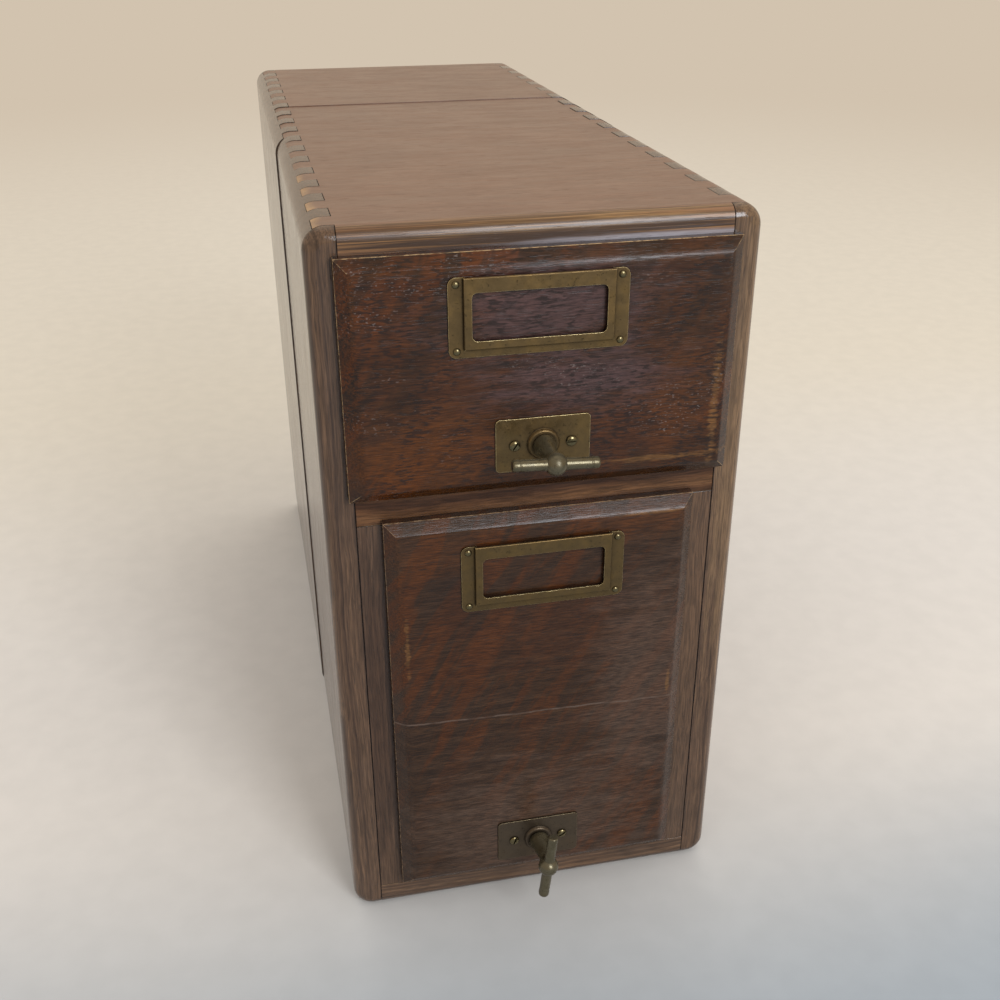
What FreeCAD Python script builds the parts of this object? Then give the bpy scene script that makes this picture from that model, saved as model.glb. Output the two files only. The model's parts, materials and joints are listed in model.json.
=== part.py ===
"""Two-drawer oak card cabinet: wrap-around finger-jointed case, lipped drawers, rods and followers.

Frame: origin at the middle of the underside, +X to the right, -Y out of the drawers, +Z up.
Every size is a cell of the sheet "Sizes", in millimetres, and every sketch point is bound to it.
"""
import FreeCAD
import Part
import math
import os
import re
import Sketcher

SIZES = {
    # case, outside
    "case_width": 178.0,
    "case_depth": 444.5,
    "case_height": 330.0,
    "board": 12.5,
    "long_edge_radius": 9.0,
    "front_edge_radius": 5.5,
    "rear_edge_chamfer": 2.0,
    # half-blind finger joint between the sides and the top and bottom
    "joint_lap": 4.5,
    "front_knuckle": 5.0,
    "rear_knuckle": 5.0,
    "finger_count": 17,
    "top_front_fingers": 11,
    "side_front_fingers": 7,
    "glue_gap": 0.15,
    "seam_gap": 0.3,
    # face frame and drawer supports
    "upper_opening": 96.5,
    "rail_height": 12.5,
    "rail_depth": 40.0,
    "rear_rail_depth": 30.0,
    "tongue_length": 6.0,
    "tongue_height": 4.0,
    "runner_width": 24.0,
    "stile_width": 12.5,
    "stile_depth": 20.0,
    "guide_height": 30.0,
    "wear_strip_height": 3.2,
    "wear_strip_width": 12.0,
    "wear_strip_setback": 12.0,
    # drawer stops
    "stop_height": 5.0,
    "stop_depth": 12.0,
    "upper_stop_length": 100.0,
    "lower_stop_length": 70.0,
    "upper_stop_setback": 34.0,
    "lower_stop_setback": 26.0,
    # back panel
    "back_thickness": 6.0,
    "back_inset": 2.0,
    "back_rebate": 6.0,
    "panel_slack": 0.25,
    "back_screw_rows": 2,
    "back_screw_margin": 3.2,
    # drawers
    "side_play": 0.8,
    "slide_gap": 0.3,
    "head_play": 1.5,
    "face_gap": 0.2,
    "rear_play": 6.0,
    "lip_overlap": 2.3,
    "lip_thickness": 4.0,
    "bevel_width": 5.5,
    "bevel_depth": 4.5,
    "bevel_round": 6.0,
    "lip_round": 0.7,
    "front_core": 10.5,
    "front_foot": 0.3,
    "drawer_side": 9.5,
    "drawer_back": 9.5,
    "back_corner": 8.0,
    "back_setback": 10.0,
    "dado_depth": 4.0,
    "drawer_bottom": 4.5,
    "bottom_lift": 4.0,
    "bottom_groove": 4.5,
    "groove_slack": 0.2,
    "upper_side_height": 62.0,
    "lower_side_height": 140.0,
    "side_horn": 24.0,
    "tail_length": 8.0,
    "tail_slope": 0.17,
    "pin_width": 5.0,
    "upper_tails": 3,
    "lower_tails": 6,
    # card rod, its bearing and its handle
    "rod_radius": 3.0,
    "rod_rise": 21.3,
    "running_clearance": 0.06,
    "press_clearance": 0.05,
    "wood_clearance": 0.6,
    "rod_tail": 3.0,
    "rod_tip": 0.8,
    "bush_radius": 5.0,
    "bush_flange_radius": 9.0,
    "bush_flange": 1.5,
    "plate_width": 38.5,
    "plate_height": 22.5,
    "plate_thickness": 1.0,
    "plate_corner": 1.8,
    "dome_radius": 6.5,
    "dome_height": 1.8,
    "dome_chamfer": 1.0,
    "plate_screw_spacing": 23.2,
    "handle_reach": 21.0,
    "handle_gap": 0.3,
    "stem_base_radius": 4.7,
    "stem_neck_radius": 2.7,
    "stem_land": 1.2,
    "ball_radius": 4.6,
    "rod_socket": 4.0,
    "bar_length": 34.7,
    "bar_radius": 2.45,
    "bar_chamfer": 0.6,
    "bar_ring_setback": 3.0,
    "bar_ring_width": 0.8,
    "bar_ring_depth": 0.3,
    "upper_handle_turn": 3.0,
    "lower_handle_turn": -83.0,
    "upper_fitting_shift": -1.2,
    "lower_fitting_shift": -1.2,
    # label holder
    "holder_width": 70.0,
    "holder_height": 31.0,
    "holder_corner": 3.0,
    "holder_sheet": 0.9,
    "holder_raise": 1.5,
    "holder_side_flange": 5.7,
    "holder_foot_flange": 3.2,
    "holder_edge_round": 0.5,
    "window_width": 52.5,
    "window_height": 18.8,
    "window_foot": 6.5,
    "window_corner": 2.2,
    "upper_holder_drop": 23.6,
    "lower_holder_drop": 27.4,
    "upper_holder_shift": -3.1,
    "lower_holder_shift": -0.3,
    "pin_inset": 3.0,
    "pin_drop": 2.6,
    # fasteners: head radius, head height, shank radius, shank length
    "screw_head_radius": 2.2,
    "screw_head_height": 1.3,
    "screw_shank_radius": 1.3,
    "screw_length": 9.0,
    "pin_head_radius": 1.45,
    "pin_head_height": 0.8,
    "pin_shank_radius": 0.6,
    "pin_length": 6.0,
    # card follower
    "follower_play": 1.0,
    "follower_lift": 0.3,
    "follower_foot": 26.0,
    "follower_head": 12.0,
    "upper_follower_height": 66.0,
    "lower_follower_height": 128.0,
    "follower_round": 3.0,
    "follower_rest_gap": 0.5,
    "follower_rod_clearance": 0.6,
    "follower_plate_width": 30.0,
    "follower_plate_height": 18.0,
    "follower_plate_thickness": 1.2,
    "follower_screw_spacing": 20.0,
}

# Places worked out from the sheet, as expressions.
FRONT = "(-case_depth / 2)"
REAR = "(case_depth / 2)"
INNER = "(case_width / 2 - board)"
FINGER = "((case_depth - front_knuckle - rear_knuckle) / (2 * finger_count - 1))"
TOP_SEAM = f"({FRONT} + front_knuckle + (2 * top_front_fingers - 1) * {FINGER})"
SIDE_SEAM = f"({FRONT} + front_knuckle + 2 * side_front_fingers * {FINGER})"
PANEL_FACE = f"({REAR} - back_inset - back_thickness)"
RAIL_TOP = "(case_height - board - upper_opening)"
RAIL_FOOT = f"({RAIL_TOP} - rail_height)"
STILE_EDGE = f"({INNER} - glue_gap - stile_width)"
LIP_BACK = f"({FRONT} - face_gap)"
LIP_FACE = f"({LIP_BACK} - lip_thickness)"
FACE = f"({LIP_FACE} - bevel_depth)"
CORE_REAR = f"({FRONT} + front_core)"
SIDES_REAR = f"({PANEL_FACE} - rear_play)"
BACK_REAR = f"({SIDES_REAR} - back_setback)"
BACK_FACE = f"({BACK_REAR} - drawer_back)"

LEFT = -1
RIGHT = 1
SIDES = {"left": LEFT, "right": RIGHT}

doc = FreeCAD.newDocument("CardCabinet")
sheet = doc.addObject("Spreadsheet::Sheet", "Sizes")
for row, (alias, size) in enumerate(SIZES.items(), start=1):
    sheet.set(f"A{row}", alias)
    sheet.set(f"B{row}", str(size))
    sheet.setAlias(f"B{row}", alias)
doc.recompute()

nodes = []


def bound(text):
    """Point every size named in an expression at its cell of the sheet."""
    def refer(found):
        word = found.group()
        return f"Sizes.{word}" if word in SIZES else word
    return re.sub(r"[a-z][a-z_]*", refer, str(text))


def value(text):
    """Work out an expression's present value as a plain number."""
    return float(sheet.evalExpression(bound(text)))


def keep(thing, label):
    """Label a finished sub-part with its node's name and list it for export."""
    thing.Label = label
    nodes.append(thing)
    return thing


def origin_feature(body, role):
    """Find one of a body's own origin planes or axes."""
    return next(item for item in body.Origin.OriginFeatures if item.Role == role)


def new_body(label):
    """Start an empty body."""
    body = doc.addObject("PartDesign::Body", label)
    body.Label = label
    return body


class Outline:
    """A closed sketch on one of a body's origin planes, every point bound to the sheet."""

    NORMAL_SIGN = {"XY": 1, "XZ": -1, "YZ": 1}

    def __init__(self, body, plane, level="0"):
        self.sketch = body.newObject("Sketcher::SketchObject", "Outline")
        self.sketch.AttachmentSupport = (origin_feature(body, f"{plane}_Plane"), [""])
        self.sketch.MapMode = "FlatFace"
        offset = level if self.NORMAL_SIGN[plane] == 1 else f"-({level})"
        self.sketch.setExpression("AttachmentOffset.Base.z", bound(offset))

    def bind(self, kind, where, expression):
        """Add one dimension and bind it to the sheet."""
        index = self.sketch.addConstraint(Sketcher.Constraint(kind, *where, value(expression)))
        name = f"size{index}"
        self.sketch.renameConstraint(index, name)
        self.sketch.setExpression(f"Constraints.{name}", bound(expression))

    def pin(self, geometry, end, across, up):
        """Hold a point at its place from the sketch's origin."""
        self.bind("DistanceX", (-1, 1, geometry, end), across)
        self.bind("DistanceY", (-1, 1, geometry, end), up)

    def path(self, points):
        """Draw a closed path of (across, up) or (across, up, radius, turn) points.

        A point with a radius starts an arc to the next one; turn is 1 for counter-clockwise.
        """
        spots = [FreeCAD.Vector(value(point[0]), value(point[1]), 0) for point in points]
        starts = []
        ends = []
        for index, point in enumerate(points):
            begin = spots[index]
            finish = spots[(index + 1) % len(spots)]
            if len(point) == 2:
                geometry = self.sketch.addGeometry(Part.LineSegment(begin, finish), False)
                starts.append((geometry, 1))
                ends.append((geometry, 2))
                continue
            radius = value(point[2])
            turn = point[3]
            chord = finish - begin
            rise = math.sqrt(max(radius ** 2 - (chord.Length / 2) ** 2, 0.0))
            across = FreeCAD.Vector(-chord.y, chord.x, 0) * (turn * rise / chord.Length)
            centre = (begin + finish) * 0.5 + across
            first, last = (begin, finish) if turn == 1 else (finish, begin)
            angles = [math.atan2(spot.y - centre.y, spot.x - centre.x) for spot in (first, last)]
            circle = Part.Circle(centre, FreeCAD.Vector(0, 0, 1), radius)
            geometry = self.sketch.addGeometry(Part.ArcOfCircle(circle, *angles), False)
            starts.append((geometry, 1 if turn == 1 else 2))
            ends.append((geometry, 2 if turn == 1 else 1))
        for index, point in enumerate(points):
            follower = starts[(index + 1) % len(points)]
            self.sketch.addConstraint(Sketcher.Constraint("Coincident", *ends[index], *follower))
            self.pin(*starts[index], point[0], point[1])
            if len(point) == 4:
                self.bind("Radius", (starts[index][0],), point[2])
        return self

    def rectangle(self, left, low, right, high):
        """Draw a square-cornered rectangle."""
        return self.path([(left, low), (right, low), (right, high), (left, high)])

    def rounded(self, left, low, right, high, radius):
        """Draw a rectangle with round corners."""
        return self.path([
            (f"{left} + {radius}", low), (f"{right} - {radius}", low, radius, 1),
            (right, f"{low} + {radius}"), (right, f"{high} - {radius}", radius, 1),
            (f"{right} - {radius}", high), (f"{left} + {radius}", high, radius, 1),
            (left, f"{high} - {radius}"), (left, f"{low} + {radius}", radius, 1),
        ])

    def circle(self, across, up, radius):
        """Draw a circle."""
        spot = FreeCAD.Vector(value(across), value(up), 0)
        shape = Part.Circle(spot, FreeCAD.Vector(0, 0, 1), value(radius))
        geometry = self.sketch.addGeometry(shape, False)
        self.pin(geometry, 3, across, up)
        self.bind("Radius", (geometry,), radius)
        return self


def volume(body):
    """Volume of a body as it stands, or nothing before its first feature."""
    doc.recompute()
    return body.Shape.Volume if body.Shape.Solids else 0.0


def pad(body, outline, length, back=False, both=False):
    """Extrude an outline along its normal, against it, or both ways from the middle."""
    feature = body.newObject("PartDesign::Pad", "Pad")
    feature.Profile = outline.sketch
    feature.setExpression("Length", bound(length))
    feature.Reversed = back
    if both:
        feature.SideType = "Symmetric"
    doc.recompute()
    return feature


def pocket(body, outline, depth=None, back=False):
    """Cut an outline against its normal, or along it with back, and test that it cuts.

    Without a depth the cut goes right through both ways.
    """
    before = volume(body)
    feature = body.newObject("PartDesign::Pocket", "Pocket")
    feature.Profile = outline.sketch
    if depth is None:
        feature.Type = "ThroughAll"
        feature.SideType = "Symmetric"
    else:
        feature.setExpression("Length", bound(depth))
        feature.Reversed = back
    if volume(body) >= before:
        raise RuntimeError(f"{body.Label}: a pocket cuts nothing")
    return feature


def repeat(body, feature, axis, pitch, count):
    """Copy a feature along one of the body's axes."""
    pattern = body.newObject("PartDesign::LinearPattern", "Pattern")
    pattern.Originals = [feature]
    pattern.Direction = (origin_feature(body, f"{axis}_Axis"), [""])
    pattern.Mode = "Spacing"
    pattern.setExpression("Offset", bound(pitch))
    pattern.setExpression("Occurrences", bound(count))
    body.Tip = pattern
    doc.recompute()
    return pattern


def revolve(body, outline, axis):
    """Turn an outline once round one of the body's axes."""
    feature = body.newObject("PartDesign::Revolution", "Revolution")
    feature.Profile = outline.sketch
    feature.ReferenceAxis = (origin_feature(body, f"{axis}_Axis"), [""])
    feature.Angle = 360
    doc.recompute()
    return feature


def dress(body, kind, cell, size, chosen):
    """Fillet or chamfer every edge of a body that the test picks."""
    doc.recompute()
    names = [f"Edge{index}" for index, edge in enumerate(body.Shape.Edges, start=1) if chosen(edge)]
    if not names:
        raise RuntimeError(f"{body.Label}: no edge to dress")
    base = body.Tip
    feature = body.newObject(f"PartDesign::{kind}", kind)
    feature.Base = (base, names)
    feature.setExpression(cell, bound(size))
    doc.recompute()
    return feature


def round_edges(body, radius, chosen):
    """Fillet every edge of a body that the test picks."""
    return dress(body, "Fillet", "Radius", radius, chosen)


def slope_edges(body, width, chosen):
    """Chamfer every edge of a body that the test picks."""
    return dress(body, "Chamfer", "Size", width, chosen)


def runs_along(edge, axis):
    """Tell whether an edge is straight and lies along X, Y or Z."""
    if edge.Curve.TypeId != "Part::GeomLine":
        return False
    return abs(abs(getattr(edge.Curve.Direction, axis)) - 1) < 1e-6


def lies_at(edge, axis, place):
    """Tell whether the whole of an edge lies at one level of X, Y or Z."""
    level = value(place)
    low = getattr(edge.BoundBox, f"{axis.upper()}Min")
    high = getattr(edge.BoundBox, f"{axis.upper()}Max")
    return abs(low - level) < 1e-4 and abs(high - level) < 1e-4


def place_at(body, across="0", along="0", up="0", turn=None):
    """Put a body at a place bound to the sheet, turned about Y where asked."""
    if turn:
        body.Placement = FreeCAD.Placement(FreeCAD.Vector(), FreeCAD.Rotation(FreeCAD.Vector(0, 1, 0), 1))
        body.setExpression("Placement.Rotation.Angle", bound(turn))
    body.setExpression("Placement.Base.x", bound(across))
    body.setExpression("Placement.Base.y", bound(along))
    body.setExpression("Placement.Base.z", bound(up))


def batten(label, low, high):
    """A plain rectangular stick between two corners."""
    box = doc.addObject("Part::Box", label)
    for index, (side, letter) in enumerate((("Length", "x"), ("Width", "y"), ("Height", "z"))):
        box.setExpression(side, bound(f"{high[index]} - ({low[index]})"))
        box.setExpression(f"Placement.Base.{letter}", bound(low[index]))
    return keep(box, label)


def common(label, base, tool):
    """Keep what two solids share, as a named sub-part."""
    part = doc.addObject("Part::Common", label)
    part.Base = base
    part.Tool = tool
    return keep(part, label)


def scattered(label, fastener, spots, behind=False):
    """Copy one fastener to several spots as separate solids of one node.

    Heads face -Y, or +Y where the fasteners are driven from behind.
    """
    copies = []
    for index, spot in enumerate(spots):
        link = doc.addObject("App::Link", f"{label}_{index}")
        link.LinkedObject = fastener
        turn = FreeCAD.Rotation(FreeCAD.Vector(0, 0, 1), 180 if behind else 0)
        link.Placement = FreeCAD.Placement(FreeCAD.Vector(), turn)
        for letter, place in zip("xyz", spot):
            link.setExpression(f"Placement.Base.{letter}", bound(place))
        copies.append(link)
    group = doc.addObject("Part::Compound", label)
    group.Links = copies
    return keep(group, label)


# ---------------------------------------------------------------- case

def back_screw_spots():
    """Seats of the back panel's screws, in two columns up its edges."""
    column = f"({INNER} + back_rebate - panel_slack - back_screw_margin)"
    low = "(board - back_rebate + panel_slack + back_screw_margin)"
    step = f"((case_height - 2 * {low}) / (back_screw_rows - 1))"
    rows = range(int(value("back_screw_rows")))
    return [(f"{side} * {column}", f"{PANEL_FACE} + back_thickness", f"{low} + {index} * {step}")
            for side in SIDES.values() for index in rows]


def make_envelope():
    """The finished outside of the case: its rounded edges and the rebate for the back panel."""
    body = new_body("case_envelope")
    outline = Outline(body, "XZ", FRONT).rectangle("-case_width / 2", "0", "case_width / 2", "case_height")
    pad(body, outline, "case_depth", back=True)
    round_edges(body, "long_edge_radius", lambda edge: runs_along(edge, "y"))
    round_edges(body, "front_edge_radius", lambda edge: lies_at(edge, "y", FRONT))
    slope_edges(body, "rear_edge_chamfer", lambda edge: lies_at(edge, "y", REAR))
    edge = f"({INNER} + back_rebate)"
    rebate = Outline(body, "XZ", REAR)
    rebate.rectangle(f"-{edge}", "board - back_rebate", edge, "case_height - board + back_rebate")
    pocket(body, rebate, "back_thickness + back_inset", back=True)
    pilots = Outline(body, "XZ", PANEL_FACE)
    for across, _, up in back_screw_spots():
        pilots.circle(across, up, "screw_shank_radius + press_clearance")
    pocket(body, pilots, "screw_length - back_thickness + press_clearance", back=True)
    return body


def make_cross_board(label, envelope, floor, start, end, first_notch, notch_count, knuckle):
    """A top or bottom board, notched at both ends for the fingers of the sides."""
    body = new_body(f"{label}_blank")
    tip = "(case_width / 2 - joint_lap - glue_gap)"
    pad(body, Outline(body, "XY", floor).rectangle(f"-{tip}", start, tip, end), "board")

    def notch(low, high):
        outline = Outline(body, "XY", floor)
        for side in SIDES.values():
            root, open_end = f"{side} * ({INNER} - glue_gap)", f"{side} * case_width / 2"
            left, right = (root, open_end) if side == RIGHT else (open_end, root)
            outline.rectangle(left, low, right, high)
        return pocket(body, outline, "board", back=True)

    notch(*knuckle)
    finger = notch(f"{first_notch} - glue_gap", f"{first_notch} + {FINGER} + glue_gap")
    repeat(body, finger, "Y", f"2 * {FINGER}", notch_count)
    return common(label, body, envelope)


def make_side_board(label, envelope, side, start, end, first_socket, socket_count):
    """A side board with blind sockets, top and bottom, for the fingers of the cross boards."""
    body = new_body(f"{label}_blank")
    face = f"{side} * {INNER}"
    blank = Outline(body, "YZ", face).rectangle(start, "0", end, "case_height")
    pad(body, blank, "board", back=side == LEFT)
    outline = Outline(body, "YZ", face)
    for low, high in (("0", "board"), ("case_height - board", "case_height")):
        outline.rectangle(first_socket, low, f"{first_socket} + {FINGER}", high)
    socket = pocket(body, outline, "board - joint_lap", back=side == RIGHT)
    repeat(body, socket, "Y", f"2 * {FINGER}", socket_count)
    return common(label, body, envelope)


def make_carcase():
    """The eight boards of the case, shaped together by one rounded envelope."""
    envelope = make_envelope()
    first_finger = f"({FRONT} + front_knuckle)"
    for name, floor in (("top", "case_height - board"), ("bottom", "0")):
        make_cross_board(
            f"{name}_front_board", envelope, floor, FRONT, TOP_SEAM,
            f"{first_finger} + {FINGER}", "top_front_fingers - 1",
            (FRONT, f"{first_finger} + glue_gap"))
        make_cross_board(
            f"{name}_rear_board", envelope, floor, f"{TOP_SEAM} + seam_gap", REAR,
            TOP_SEAM, "finger_count - top_front_fingers",
            (f"{REAR} - rear_knuckle - glue_gap", REAR))
    for name, side in SIDES.items():
        make_side_board(
            f"{name}_side_front_board", envelope, side, FRONT, SIDE_SEAM,
            first_finger, "side_front_fingers")
        make_side_board(
            f"{name}_side_rear_board", envelope, side, f"{SIDE_SEAM} + seam_gap", REAR,
            SIDE_SEAM, "finger_count - side_front_fingers")


def make_frame():
    """Rails, runners, stiles, guides, wear strips and drawer stops."""
    middle = f"({RAIL_TOP} - rail_height / 2)"
    tongue_low = f"{middle} - tongue_height / 2"
    tongue_high = f"{middle} + tongue_height / 2"
    rail_rear = f"({FRONT} + rail_depth)"
    rear_rail_face = f"({PANEL_FACE} - rear_rail_depth)"

    def rail(label, outside, inside, inward):
        body = new_body(label)
        groove = f"{inside} {inward} tongue_length"
        outline = Outline(body, "YZ").path([
            (outside, RAIL_FOOT), (inside, RAIL_FOOT), (inside, tongue_low), (groove, tongue_low),
            (groove, tongue_high), (inside, tongue_high), (inside, RAIL_TOP), (outside, RAIL_TOP)])
        pad(body, outline, f"2 * ({INNER} - glue_gap)", both=True)
        return keep(body, label)

    rail("middle_rail", FRONT, rail_rear, "-")
    rail("rear_rail", PANEL_FACE, rear_rail_face, "+")

    for name, side in SIDES.items():
        body = new_body(f"{name}_runner")
        outline = Outline(body, "YZ", f"{side} * ({INNER} - glue_gap)").path([
            (rail_rear, RAIL_FOOT), (rear_rail_face, RAIL_FOOT), (rear_rail_face, tongue_low),
            (f"{rear_rail_face} + tongue_length", tongue_low),
            (f"{rear_rail_face} + tongue_length", tongue_high), (rear_rail_face, tongue_high),
            (rear_rail_face, RAIL_TOP), (rail_rear, RAIL_TOP), (rail_rear, tongue_high),
            (f"{rail_rear} - tongue_length", tongue_high),
            (f"{rail_rear} - tongue_length", tongue_low), (rail_rear, tongue_low)])
        pad(body, outline, "runner_width", back=side == RIGHT)
        keep(body, f"{name}_runner")

    def beside(label, side, near, far, low, high):
        """A batten between two distances from the middle plane, on either side."""
        left, right = (near, far) if side == RIGHT else (f"-({far})", f"-({near})")
        return batten(label, (left, low[0], low[1]), (right, high[0], high[1]))

    stile_rear = f"({FRONT} + stile_depth)"
    for name, side in SIDES.items():
        beside(f"{name}_stile", side, STILE_EDGE, f"{INNER} - glue_gap",
               (FRONT, "board"), (stile_rear, RAIL_FOOT))
        beside(f"{name}_guide", side, STILE_EDGE, f"{INNER} - glue_gap",
               (stile_rear, "board"), (PANEL_FACE, "board + guide_height"))
        beside(f"{name}_wear_strip", side, f"{STILE_EDGE} - wear_strip_width", STILE_EDGE,
               (f"{FRONT} + wear_strip_setback", "board"), (PANEL_FACE, "board + wear_strip_height"))
    for name, ceiling in (("upper", "(case_height - board)"), ("lower", RAIL_FOOT)):
        start = f"({FRONT} + {name}_stop_setback)"
        batten(f"{name}_stop", (f"-{name}_stop_length / 2", start, f"{ceiling} - stop_height"),
               (f"{name}_stop_length / 2", f"{start} + stop_depth", ceiling))


def make_fastener(label, head_radius, head_height, shank_radius, shank_length):
    """A plain-headed screw or pin along Y, its head facing -Y and its seat at the origin."""
    body = new_body(label)
    outline = Outline(body, "XY").path([
        ("0", f"-{head_height}"), (head_radius, f"-{head_height}"), (head_radius, "0"),
        (shank_radius, "0"), (shank_radius, shank_length), ("0", shank_length)])
    revolve(body, outline, "Y")
    return body


def make_back(screw):
    """The back panel in its rebate, and the screws that hold it."""
    edge = f"({INNER} + back_rebate - panel_slack)"
    low = "(board - back_rebate + panel_slack)"
    rear = f"({PANEL_FACE} + back_thickness)"
    body = new_body("back_panel")
    panel = Outline(body, "XZ", rear).rectangle(f"-{edge}", low, edge, f"case_height - {low}")
    pad(body, panel, "back_thickness")
    holes = Outline(body, "XZ", rear)
    for across, _, up in back_screw_spots():
        holes.circle(across, up, "screw_shank_radius + press_clearance")
    pocket(body, holes, "back_thickness", back=True)
    keep(body, "back_panel")
    scattered("back_screws", screw, back_screw_spots(), behind=True)


# ---------------------------------------------------------------- drawers

class Drawer:
    """Places of one drawer, worked out from the opening that it fills."""

    def __init__(self, name, edge, floor, ceiling):
        self.name = name
        self.floor = floor
        self.outer = f"({edge} - side_play)"
        self.inner = f"({self.outer} - drawer_side)"
        self.top = f"({ceiling} - head_play)"
        self.foot = f"({floor} + front_foot)"
        self.lip = f"({edge} + lip_overlap)"
        self.lip_top = f"({ceiling} + lip_overlap)"
        self.side_top = f"({floor} + {name}_side_height)"
        self.panel_low = f"({floor} + bottom_lift)"
        self.panel_high = f"({self.panel_low} + drawer_bottom)"
        self.groove_high = f"({self.panel_high} + groove_slack)"
        self.tail_pitch = f"(({self.top} - {floor}) / {name}_tails)"
        self.rod_across = f"({name}_fitting_shift)"
        self.rod_up = f"({floor} + rod_rise)"
        self.holder_across = f"({name}_holder_shift)"
        self.holder_up = f"({self.lip_top} - {name}_holder_drop)"

    def node(self, piece):
        """Name of one of this drawer's pieces."""
        return f"{self.name}_{piece}"

    def pin_spots(self):
        """Seats of the four pins of the label holder."""
        across = "(holder_width / 2 - pin_inset)"
        up = "(holder_height / 2 - pin_drop)"
        return [(f"{self.holder_across} + {side} * {across}", f"{FACE} - holder_sheet",
                 f"{self.holder_up} + {row} * {up}") for side in (-1, 1) for row in (-1, 1)]

    def plate_screw_spots(self):
        """Seats of the two screws of the pull plate."""
        return [(f"{self.rod_across} + {side} * plate_screw_spacing / 2", f"{FACE} - plate_thickness",
                 self.rod_up) for side in (-1, 1)]


def tail_outline(body, drawer, side, slack):
    """The lowest dovetail of a drawer side, wider at its end; slack makes its socket larger."""
    end_half = f"(({drawer.tail_pitch} - pin_width) / 2 + {slack})"
    base_half = f"({end_half} - tail_slope * tail_length)"
    middle = f"({drawer.floor} + {drawer.tail_pitch} / 2)"
    base = f"({CORE_REAR} + glue_gap)"
    end = f"({CORE_REAR} - tail_length - {slack})"
    return Outline(body, "YZ", f"{side} * {drawer.outer}").path([
        (base, f"{middle} - {base_half}"), (base, f"{middle} + {base_half}"),
        (end, f"{middle} + {end_half}"), (end, f"{middle} - {end_half}")])


def make_front(drawer):
    """A lipped and bevelled front, with blind sockets for the tails of the sides."""
    body = new_body(drawer.node("front"))
    core = Outline(body, "XZ", LIP_BACK)
    core.rectangle(f"-{drawer.outer}", drawer.foot, drawer.outer, drawer.top)
    pad(body, core, f"{CORE_REAR} - {LIP_BACK}", back=True)

    lip = Outline(body, "XZ", LIP_BACK)
    lip.rectangle(f"-{drawer.lip}", drawer.foot, drawer.lip, drawer.lip_top)
    pad(body, lip, "lip_thickness + bevel_depth")
    level = Outline(body, "YZ")
    level.path([(LIP_FACE, drawer.lip_top), (FACE, drawer.lip_top), (FACE, f"{drawer.lip_top} - bevel_width")])
    level.path([(LIP_FACE, drawer.foot), (FACE, drawer.foot), (FACE, f"{drawer.foot} + bevel_width")])
    pocket(body, level)
    upright = Outline(body, "XY")
    for side in SIDES.values():
        edge = f"{side} * {drawer.lip}"
        upright.path([(edge, LIP_FACE), (edge, FACE), (f"{side} * ({drawer.lip} - bevel_width)", FACE)])
    pocket(body, upright)
    round_edges(body, "bevel_round", lambda edge: lies_at(edge, "y", FACE))
    round_edges(body, "lip_round", lambda edge: lies_at(edge, "y", LIP_FACE))

    for side in SIDES.values():
        socket = pocket(body, tail_outline(body, drawer, side, "glue_gap"),
                        "drawer_side + glue_gap", back=side == LEFT)
        repeat(body, socket, "Z", drawer.tail_pitch, drawer.node("tails"))
    groove = Outline(body, "XZ", CORE_REAR)
    groove.rectangle(f"-{drawer.inner}", drawer.panel_low, drawer.inner, drawer.groove_high)
    pocket(body, groove, "bottom_groove", back=True)

    bore = Outline(body, "XZ").circle(drawer.rod_across, drawer.rod_up, "rod_radius + wood_clearance")
    pocket(body, bore)
    for spots, radius, depth in (
            (drawer.pin_spots(), "pin_shank_radius", "pin_length - holder_sheet"),
            (drawer.plate_screw_spots(), "screw_shank_radius", "screw_length - plate_thickness")):
        holes = Outline(body, "XZ", FACE)
        for across, _, up in spots:
            holes.circle(across, up, f"{radius} + press_clearance")
        pocket(body, holes, f"{depth} + press_clearance")
    keep(body, drawer.node("front"))


def make_side(drawer, name, side):
    """A drawer side: full height behind the front, then swept down, with tails and grooves."""
    label = drawer.node(f"{name}_side")
    body = new_body(label)
    start = f"({CORE_REAR} + glue_gap)"
    sweep = f"(({drawer.top} - {drawer.side_top}) / 2)"
    horn = f"({start} + side_horn)"
    board = Outline(body, "YZ", f"{side} * {drawer.outer}").path([
        (start, drawer.floor), (SIDES_REAR, drawer.floor), (SIDES_REAR, drawer.side_top),
        (f"{horn} + 2 * {sweep}", drawer.side_top, sweep, -1),
        (f"{horn} + {sweep}", f"{drawer.top} - {sweep}", sweep, 1),
        (horn, drawer.top), (start, drawer.top)])
    pad(body, board, "drawer_side", back=side == RIGHT)
    tail = pad(body, tail_outline(body, drawer, side, "0"), "drawer_side", back=side == RIGHT)
    repeat(body, tail, "Z", drawer.tail_pitch, drawer.node("tails"))
    face = f"{side} * {drawer.inner}"
    groove = Outline(body, "YZ", face).rectangle(start, drawer.panel_low, SIDES_REAR, drawer.groove_high)
    pocket(body, groove, "bottom_groove", back=side == RIGHT)
    dado = Outline(body, "YZ", face).rectangle(
        f"{BACK_FACE} - glue_gap", drawer.groove_high, f"{BACK_REAR} + glue_gap", drawer.side_top)
    pocket(body, dado, "dado_depth", back=side == RIGHT)
    keep(body, label)


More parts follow.
